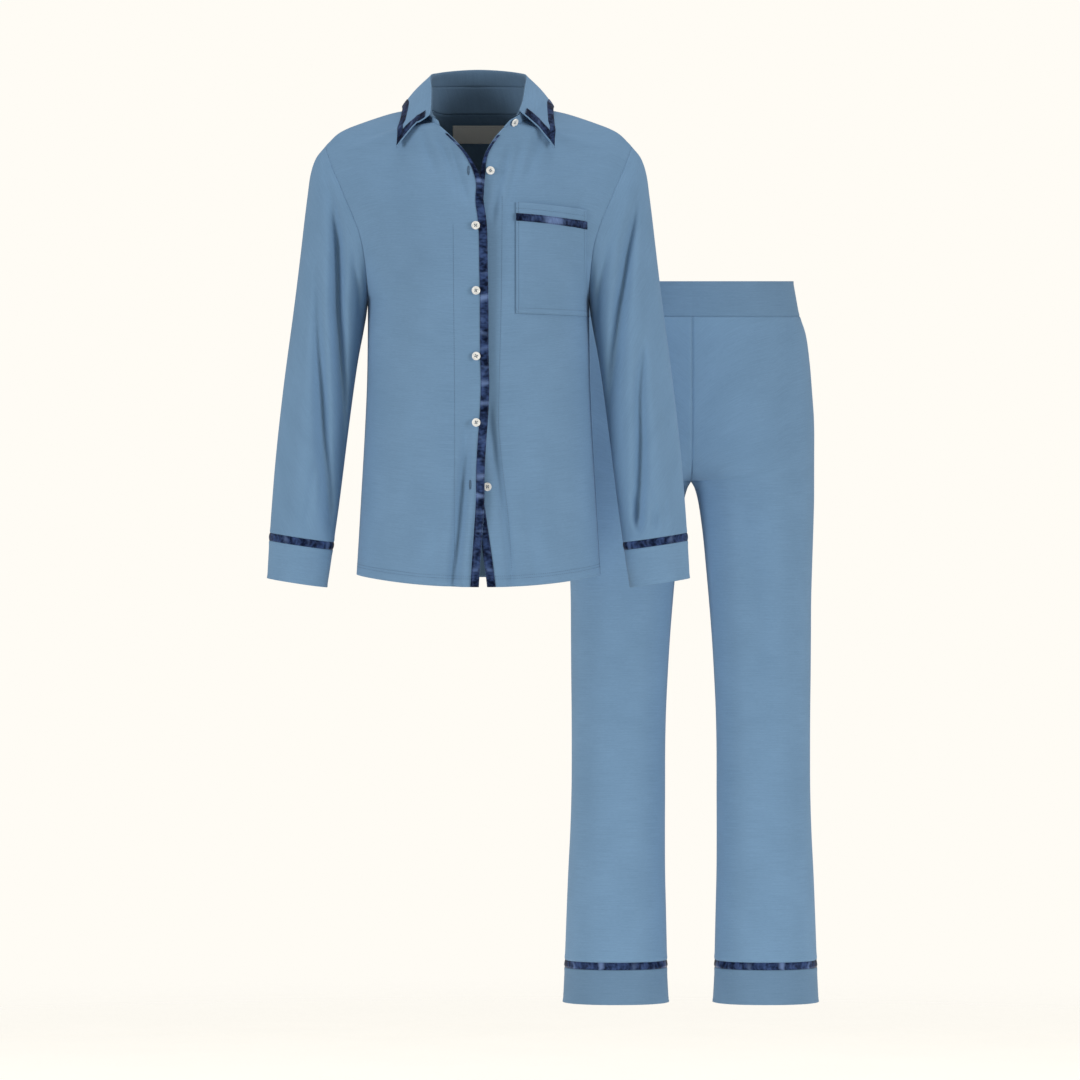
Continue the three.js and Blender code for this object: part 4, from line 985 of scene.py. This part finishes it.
POCKET_LEFT, POCKET_RIGHT = 53.0, 152.5  # x
POCKET_FOOT, POCKET_TOP = 9.45, 15.95  # rows
POCKET_SPAN, ROW_STEP = 100, 20  # rough width, and height of a row, in millimetres
POCKET_BAND = (15.3, 14.85)  # rows of its top and its foot


def pocket_at(t, row, lift):
    """Point over the under front at a share of the pocket's width, held off it by lift."""
    x = POCKET_LEFT + (POCKET_RIGHT - POCKET_LEFT) * t
    s = np.full(row.shape, 0.5)
    for _ in range(14):
        p = under_front(s, row)[..., 0]
        rate = (under_front(s + STEP, row)[..., 0] - p) / STEP
        s = np.clip(s + np.clip((x - p) / rate, -0.2, 0.2), 0, 1)
    p, n = skin(under_front, s, row)
    return p + n * lift[..., None], n


t, row = np.meshgrid(np.linspace(0, 1, 56), np.linspace(POCKET_FOOT, POCKET_TOP, 70))
edge_in = np.minimum(np.minimum(t, 1 - t) * POCKET_SPAN, (row - POCKET_FOOT) * ROW_STEP)
P, N = pocket_at(t, row, 1.7 + 1.2 * (1 - np.exp(-((edge_in / 5) ** 2))))
widths = [(0, 138), (40, 132), (75, 119), (155, 107)]
cloth("pocket", P, N, 0, (0.14, 0.16), widths, rests=["front_under"], wall=1.1)

round_three = [np.concatenate([A[::-1, 2], A[2, :], A[:, -3]]) for A in (P, N)]
sewn = [round_three, at_height(P[::-1], N[::-1], 9.0)]
fit(stitches("pocket_stitches", sewn, blue_thread), "jersey")

across = np.linspace(0, 1, 120)
(a, n), (b, _) = (pocket_at(across, across * 0 + at, across * 0 + 3.5) for at in POCKET_BAND)
band = a[:, None] + (b - a)[:, None] * np.linspace(0, 1, 9)[None, :, None]
# The pocket's satin has a painted highlight 56 mm along its band.
pocket_satin = satin("navy satin on the pocket", 1, 0.8, (0.056, 0.02))
strip("pocket_tape", band, n, 0.5, (0.011, 0.111), pocket_satin)


# Label
# A woven label, bare, folded in at both ends and sewn inside the back of the neck.

LABEL_HALF, LABEL_FOOT, LABEL_TOP = 37.0, -45.4, -20.0
x, z = np.meshgrid(np.linspace(-LABEL_HALF, LABEL_HALF, 40), np.linspace(LABEL_FOOT, LABEL_TOP, 16))
s, row = locate(back_right, np.abs(x), z, 0.2, 20.0)
P = back_right(s, row)
P[..., 0] = x
label_white, shader, uv = material_of("label weave", "UV")
grain = uv.noise(700, 1800, detail=2.0).spaced(0.3, 0.7)
plug(shader, {"Base Color": grain.mix(tone(200, 200, 195), tone(222, 221, 214)), "Roughness": 0.6})
N = np.broadcast_to(np.array([0, -1.0, 0]), P.shape)
fold_in = np.exp(-(((LABEL_HALF - np.abs(x)) / 3.0) ** 4))  # both ends are folded in
P = P + N * (3.0 + 0.5 * fold_in[..., None])
piece = surface("neck_label_weave", P, N, label_white, wall=0.5)
fit(piece, "label", "neck_label", cut=(0.076, 0.028))
white_thread = thread("white thread", 150, 147, 141)
fit(stitches("neck_label_stitches", [(P[-2], N[-2])], white_thread, width=0.4), "label")


# Buttons
# Seven four-hole buttons of white shell, 12 mm across: a rounded rim, a flat sunk middle, and pale
# thread through the holes. Four are done up, and the first, the sixth and the collar's are undone.

shell_white, shader, at = material_of("shell white", "Object")
sheen = at.noise(300, 300, 300, detail=2.0)
plug(shader, {
    "Base Color": sheen.spaced(0.3, 0.7).mix(tone(226, 226, 222), tone(250, 250, 247)),
    "Roughness": 0.18 + sheen * 0.15,
    "Coat Weight": 0.3,
})
# The pits of the four holes are coloured dark grey blue: painted shade in the holes.
hole_painted_shade, shader, at = material_of("button hole", "Object")
painted_shade = at.noise(900, 900, 900).mix(tone(40, 48, 58), tone(70, 80, 92))
plug(shader, {"Base Color": painted_shade, "Roughness": 0.8})
button_thread = thread("button thread", 150, 168, 186)
# The slit of an undone buttonhole is a thin sheet a little darker than the jersey: painted shade for the
# opening.
slit_painted_shade = thread("buttonhole slit", 101, 131, 161)
HOLES = ((1.25, 1.25), (1.25, -1.25), (-1.25, 1.25), (-1.25, -1.25))
FACE = 26  # rings of the flat middle


def button(name, spot, n, node, turned=0.0):
    """Disc turned from a profile over its radius, with four pits 2.5 mm apart for the holes, and
    the thread crossed over them."""
    side = unit(np.cross([0, 0, 1.0], n))
    up = np.cross(n, side)
    cos, sin = math.cos(turned), math.sin(turned)
    side, up = side * cos + up * sin, up * cos - side * sin
    r = np.concatenate([np.linspace(0, 4.4, FACE), [4.8, 5.1, 5.4, 5.7, 5.92, 6.0, 5.96, 5.7, 5.2, 0.01]])
    h = np.concatenate([np.full(FACE, 1.35), [1.5, 1.8, 2.02, 2.08, 1.85, 1.4, 0.7, 0.15, 0.0, 0.0]])
    turn, k = np.meshgrid(np.arange(64) / 64 * 2 * np.pi, np.arange(len(r)))
    X, Y = r[k] * np.cos(turn), r[k] * np.sin(turn)
    pit = np.zeros(X.shape)
    for hx, hy in HOLES:
        pit = np.maximum(pit, 1 / (1 + (np.hypot(X - hx, Y - hy) / 0.78) ** 10))
    H = np.where(k < FACE, h[k] - 1.1 * pit, h[k])
    P = spot + side * X[..., None] + up * Y[..., None] + n * H[..., None]
    piece = surface(name, P, facing(P, spot + n, wrap=True), shell_white, wrap=True, wall=0)
    # The pits take the holes' painted shade.
    paint(piece, hole_painted_shade, ((pit > 0.5) & (k < FACE))[:-1])
    fit(piece, "button", node)
    crossed = []
    for pair in ((0, 3), (1, 2)):
        for shift in (-0.22, 0.22):
            ends = [spot + side * (HOLES[i][0] + shift) + up * (HOLES[i][1] - shift) for i in pair]
            crossed.append((np.linspace(*ends, 5) + n * 1.4, np.broadcast_to(n, (5, 3))))
    sewn = stitches(name + "_thread", crossed, button_thread, length=3.3, gap=0.05, width=0.42, proud=0.22)
    fit(sewn, "button")


# name, panel, x, z, how far it stands off the panel
BUTTONS = [
    ("button_1", under_front, 17, -86, 1.75),
    ("button_2", upper_front, -3.2, -163.3, 1.75),
    ("button_3", upper_front, -2.7, -254.2, 1.75),
    ("button_4", upper_front, -2.4, -346.5, 1.75),
    ("button_5", upper_front, -2.1, -440.2, 1.75),
    ("button_6", under_front, 13, -531, 0.35),
]
BUTTONHOLES = [(-13.5, -85.5), (-11.0, -528.0)]  # x, z of the two that are undone


def buttonhole(name, panel, x, z):
    """Upright slit of 11 mm: a lens, |x| < 0.3 · sqrt(1 - w²), with short stitches all round it. The lens is
    a sheet a little darker than the jersey, painted shade for the opening.
    """
    near = np.interp(z, [-675, -265, -60], [0, 10, 18])
    a = np.linspace(0, 2 * np.pi, 60)
    p, n = skin(panel, *locate(panel, x + 1.15 * np.cos(a), z + 6.3 * np.sin(a), 0.12, near))
    rim = stitches(name + "_rim", [(p + n * 0.1, n)], blue_thread, length=0.5, gap=0.12, width=1.1, proud=0.3)
    fit(rim, "jersey")
    t, w = np.meshgrid(np.linspace(-1, 1, 7), np.linspace(-1, 1, 15))
    p, n = skin(panel, *locate(panel, x + 0.3 * t * np.sqrt(1 - w**2 * 0.98), z + 5.6 * w, 0.12, near))
    fit(surface(name + "_slit", p + n * 0.3, n, slit_painted_shade, wall=0.2), "jersey")


for number, (x, z) in zip((1, 6), BUTTONHOLES):
    buttonhole(f"buttonhole_{number}", upper_front, x, z)
for name, panel, x, z, lift in BUTTONS:
    p, n = skin(panel, *locate(panel, np.array([float(x)]), np.array([float(z)]), 0.1, 14.0))
    button(name + "_shell", p[0] + n[0] * lift, n[0], name, turned=0.5 * math.sin(z))
button("button_7_shell", np.array([51.3, -80, -17.5]), unit(np.array([0.7, -0.56, -0.44])), "button_7")


# Trousers
# Two legs of two panels each, joined at the outside, the inseam and the middle, on a straight
# waistband. A strip of satin is let in above the doubled hem band of each leg.

TROUSERS = np.array([304.9, 200.0])  # centre line, to the right of the top and behind it
# row, outer z, inner z, outer edge, inner edge, start angle, front depth, back depth
LEG_SECTION = [
    (-4, -1280.2, -1280.2, 184.5, 31.7, 0, 75, 77),
    (-2, -1255, -1255, 183.2, 33.2, 0, 75, 77),
    (-1, -1230, -1230, 182, 34.4, 0, 74.5, 76.5),
    (0, -1219.3, -1219.3, 181.4, 34.6, 0, 74, 76),
    (1, -1155, -1155, 179, 36, 0, 73, 75),
    (2, -1095, -1095, 176.6, 37.4, 0, 72, 74),
    (3, -1035, -1035, 173.6, 37.7, 0, 71, 73),
    (4, -975, -975, 171.8, 37.5, 0, 70.5, 73),
    (5, -915, -915, 171.5, 37.4, 0, 71, 74),
    (6, -860, -860, 171.7, 36.2, 0, 73, 77),
    (7, -805, -805, 172.3, 33.6, 0, 76, 81),
    (8, -750, -750, 172.7, 30.2, 0, 80, 86),
    (9, -700, -700, 173, 26.2, 0, 84, 92),
    (10, -650, -650, 174.4, 21.7, 0, 88, 98),
    (11, -606, -606, 175.8, 17.4, 0, 92, 104),
    (12, -563, -563, 177, 11.4, 0, 97, 111),
    (13, -540, -540.5, 177.2, 5.8, 0, 101, 115),
    (14, -520, -529.5, 177.2, 0, 0, 104, 119),
    (15, -503, -526, 177.2, 0, 24, 107, 122),
    (16, -484, -513, 177.2, 0, 48, 111, 126),
    (17, -460, -488, 177.2, 0, 70, 116, 129),
    (18, -434, -452, 176.4, 0, 85, 119, 130),
    (19, -404, -410, 174.2, 0, 90, 120, 128),
    (20, -362, -363, 170.8, 0, 90, 118, 122),
    (21, -320, -320, 165.2, 0, 90, 113, 114),
    (22, -292, -292, 156, 0, 90, 107, 106),
]
LEG_FRONT_FOLDS = [
    (70, -545, 96, -800, 4, 3.5, 18),
    (-72, -545, -98, -820, -4, 3.5, 18),
]
LEG_BACK_FOLDS = [
    (60, -560, 92, -900, 4, 7, 15),
    (-62, -570, -88, -880, -4, 7, 15),
    (96, -700, 104, -1120, 3, 5, 14),
    (-88, -640, -108, -1050, -3, 5, 14),
]
LEG_ROUND = 2 / 2.25  # power of its rounded sections
HIP_ROW, LEG_TOP = 14, 22  # the two legs are one from the first row up
LEG_OUT = 88  # middle of a leg from the centre line
# cut of each trouser panel: its greatest width and length, then its widths at heights
LEG_CUT = {"front": (0.29, 0.95), "back": (0.31, 0.955)}
LEG_WIDTHS = {
    "front": [(0, 237), (290, 221), (550, 259), (655, 287), (725, 266), (950, 213)],
    "back": [(0, 240), (290, 225), (550, 273), (655, 310), (725, 283), (955, 212)],
}


def leg(side, face, row, share):
    """Half of a leg's section, from the inseam or the middle seam at share 0 to the side seam at 1:
    cosine and sine to a power, led from the leg's own ring to the half of the hips above."""
    e = curve(LEG_SECTION, row)
    bend = lambda v: np.sign(v) * np.abs(v) ** LEG_ROUND
    theta = np.radians(np.clip(e[..., 4], 0, None))
    half = np.where(row >= HIP_ROW, e[..., 2] / (1 + bend(np.cos(theta))), (e[..., 2] - e[..., 3]) / 2)
    middle = e[..., 2] - half
    angle = theta + (np.pi - theta) * share
    depth = e[..., 5] if face < 0 else e[..., 6]
    out = middle - half * bend(np.cos(angle))
    x = out * side
    z = e[..., 1] + (e[..., 0] - e[..., 1]) * np.clip(out / e[..., 2], 0, 1)
    creases = LEG_FRONT_FOLDS if face < 0 else LEG_BACK_FOLDS
    sine = np.clip(np.sin(angle), 0, None)
    shown = np.sqrt(sine) * ease(0, 1.5, row) * (row > 0)
    y = face * (depth * bend(sine) - troughs(creases, x, z) * shown)
    return np.stack([TROUSERS[0] + x, TROUSERS[1] + y, z], -1)


def leg_middle(side, P):
    """Upright middle line of a leg, or with side 0 of the hips, level with each point."""
    return P * LEVEL + np.array([TROUSERS[0] + LEG_OUT * side, TROUSERS[1], 0])


half = spread(48, 1.12)
AROUND = np.concatenate([half, 2 - half[::-1][1:-1]])  # shares up the front, then down the back
for side, tag in ((-1, "left"), (1, "right")):
    for face, word in ((-1, "front"), (1, "back")):
        share, row = np.meshgrid(spread(58, 1.12), steps((0, 12, 150), (12, LEG_TOP, 90)))
        P = leg(side, face, row, share)
        N = facing(P, leg_middle(side, P))
        across, up = run(P)
        rise = seam(across) + seam(across[:, -1:] - across) + seam(up) + seam(up[-1] - up)
        cloth(f"trouser_{word}_{tag}", P, N, rise, LEG_CUT[word], LEG_WIDTHS[word])
    for foot, top, count in ((-1, 0, 9), (-4, -1, 40)):
        a, row = np.meshgrid(AROUND, np.linspace(foot, top, count))
        ahead, behind = leg(side, -1, row, np.clip(a, 0, 1)), leg(side, 1, row, np.clip(2 - a, 0, 1))
        P = np.where((a <= 1)[..., None], ahead, behind)
        N = facing(P, leg_middle(side, P), wrap=True)
        if top == 0:
            let_in(f"hem_tape_{tag}", P, N, row - foot, a / 2, 40, (0.485, 0.011), wall=1.0)
        else:
            up = run(P)[1]
            rise = seam(up[-1] - up) + rolled(up)
            cloth(f"hem_band_{tag}", P, N, rise, (0.49, 0.0505), look=doubled, wrap=True, wall=BAND)

WAIST_TOP, WAIST_SHARE = -241.3, 147 / 156  # height, and width beside that of the panels' top
a, v = np.meshgrid(np.arange(4 * 44) / 44, np.linspace(0, 1, 30))
low = np.zeros((*a.shape, 3))
for number, (side, face) in enumerate(((1, -1), (1, 1), (-1, 1), (-1, -1))):
    share = a - number if side * face < 0 else 1 - (a - number)
    at = leg(side, face, a * 0 + LEG_TOP, np.clip(share, 0, 1))
    low = np.where((np.floor(a) == number)[..., None], at, low)
centre = np.array([*TROUSERS, WAIST_TOP])
shrink = np.stack([1 + (WAIST_SHARE - 1) * v, 1 - 0.05 * v, 1 - v], -1)
P = centre + (low - centre) * shrink
up = run(P)[1]
rise = seam(up) + rolled(up[-1] - up, 0.6, 3)
waist_jersey = jersey("jersey of the waistband", 0.9)
N = facing(P, leg_middle(0, P), wrap=True)
cloth("waistband", P, N, rise, (0.85, 0.0515), look=waist_jersey, wrap=True, wall=2.2)


# Floor, light and camera
# A plain pale floor well below the hems, and three soft lights: two at the front, far out to either
# side, and a weaker one from above. The long lens is straight in front, tipped a little down.

CREAM = tone(255, 252, 245)
pale, shader, at = material_of("pale floor", "Object")
speck = at.noise(6, 6, 6, detail=2.0).spaced(0.3, 0.7)
plug(shader, {
    "Base Color": speck.mix(tone(253, 250, 243), CREAM),
    "Roughness": 0.9,
    "Emission Color": CREAM,
    "Emission Strength": 0.38,
})
far = at.node("ShaderNodeVectorMath", {"operation": "LENGTH"}, {0: at}, out=1).spaced(0.9, 2.6)
clear = at.node("ShaderNodeBsdfTransparent")
lit = Wire(pale.node_tree, shader.outputs[0])
both = at.node("ShaderNodeMixShader", {}, {0: far, 1: lit, 2: clear})
plug(pale.node_tree.nodes["Material Output"], {"Surface": both})
bpy.ops.mesh.primitive_circle_add(vertices=96, radius=2.7, fill_type="NGON", location=(0.1, 0.1, -1.42))
floor = bpy.context.object
floor.name = "floor"
floor.data.materials.append(pale)

world = bpy.data.worlds.new("studio")
bpy.context.scene.world = world
world.use_nodes = True
seen = Wire(world.node_tree).node("ShaderNodeLightPath", out="Is Camera Ray")
plug(world.node_tree.nodes["Background"], {"Color": CREAM, "Strength": 0.3 + seen * 0.7})

TROUSER_PIECES = ("trouser", "hem_", "waistband")
garments = {"top": bpy.data.collections.new("lit top"), "trousers": bpy.data.collections.new("lit trousers")}
for thing in list(bpy.context.scene.objects):
    if thing.type == "MESH":
        garments["trousers" if thing.name.startswith(TROUSER_PIECES) else "top"].objects.link(thing)


def soft_light(name, place, aim, size, power):
    """Square soft light, once for each garment: it lights and is blocked by that garment alone, so
    that neither garment shades the other. The trousers get a little less."""
    for garment, pieces in garments.items():
        data = bpy.data.lights.new(f"{name} on the {garment}", "AREA")
        data.shape, data.size = "SQUARE", size
        data.energy = power * (0.94 if garment == "trousers" else 1)
        lamp = bpy.data.objects.new(data.name, data)
        bpy.context.collection.objects.link(lamp)
        lamp.location = place
        lamp.rotation_euler = (Vector(aim) - Vector(place)).to_track_quat("-Z", "Y").to_euler()
        lamp.light_linking.receiver_collection = pieces
        lamp.light_linking.blocker_collection = pieces


soft_light("window left", (-5.0, -3.6, 0.6), (0.0, 0, -0.4), 2.2, 176)
soft_light("window right", (5.2, -3.6, 0.5), (0.2, 0, -0.4), 2.2, 172)
soft_light("window top", (0.2, 0.1, 3.1), (0.1, 0, -0.3), 2.0, 44)

camera = bpy.data.objects.new("camera", bpy.data.cameras.new("camera"))
bpy.context.collection.objects.link(camera)
camera.data.sensor_width, camera.data.lens = 36, 319.2
camera.location = (0.0873, -13.6, -0.2528)
camera.rotation_euler = (math.radians(90 - 1.5), 0, 0)
camera.data.clip_end = 100
bpy.context.scene.camera = camera

bpy.context.scene.view_settings.view_transform = "Standard"
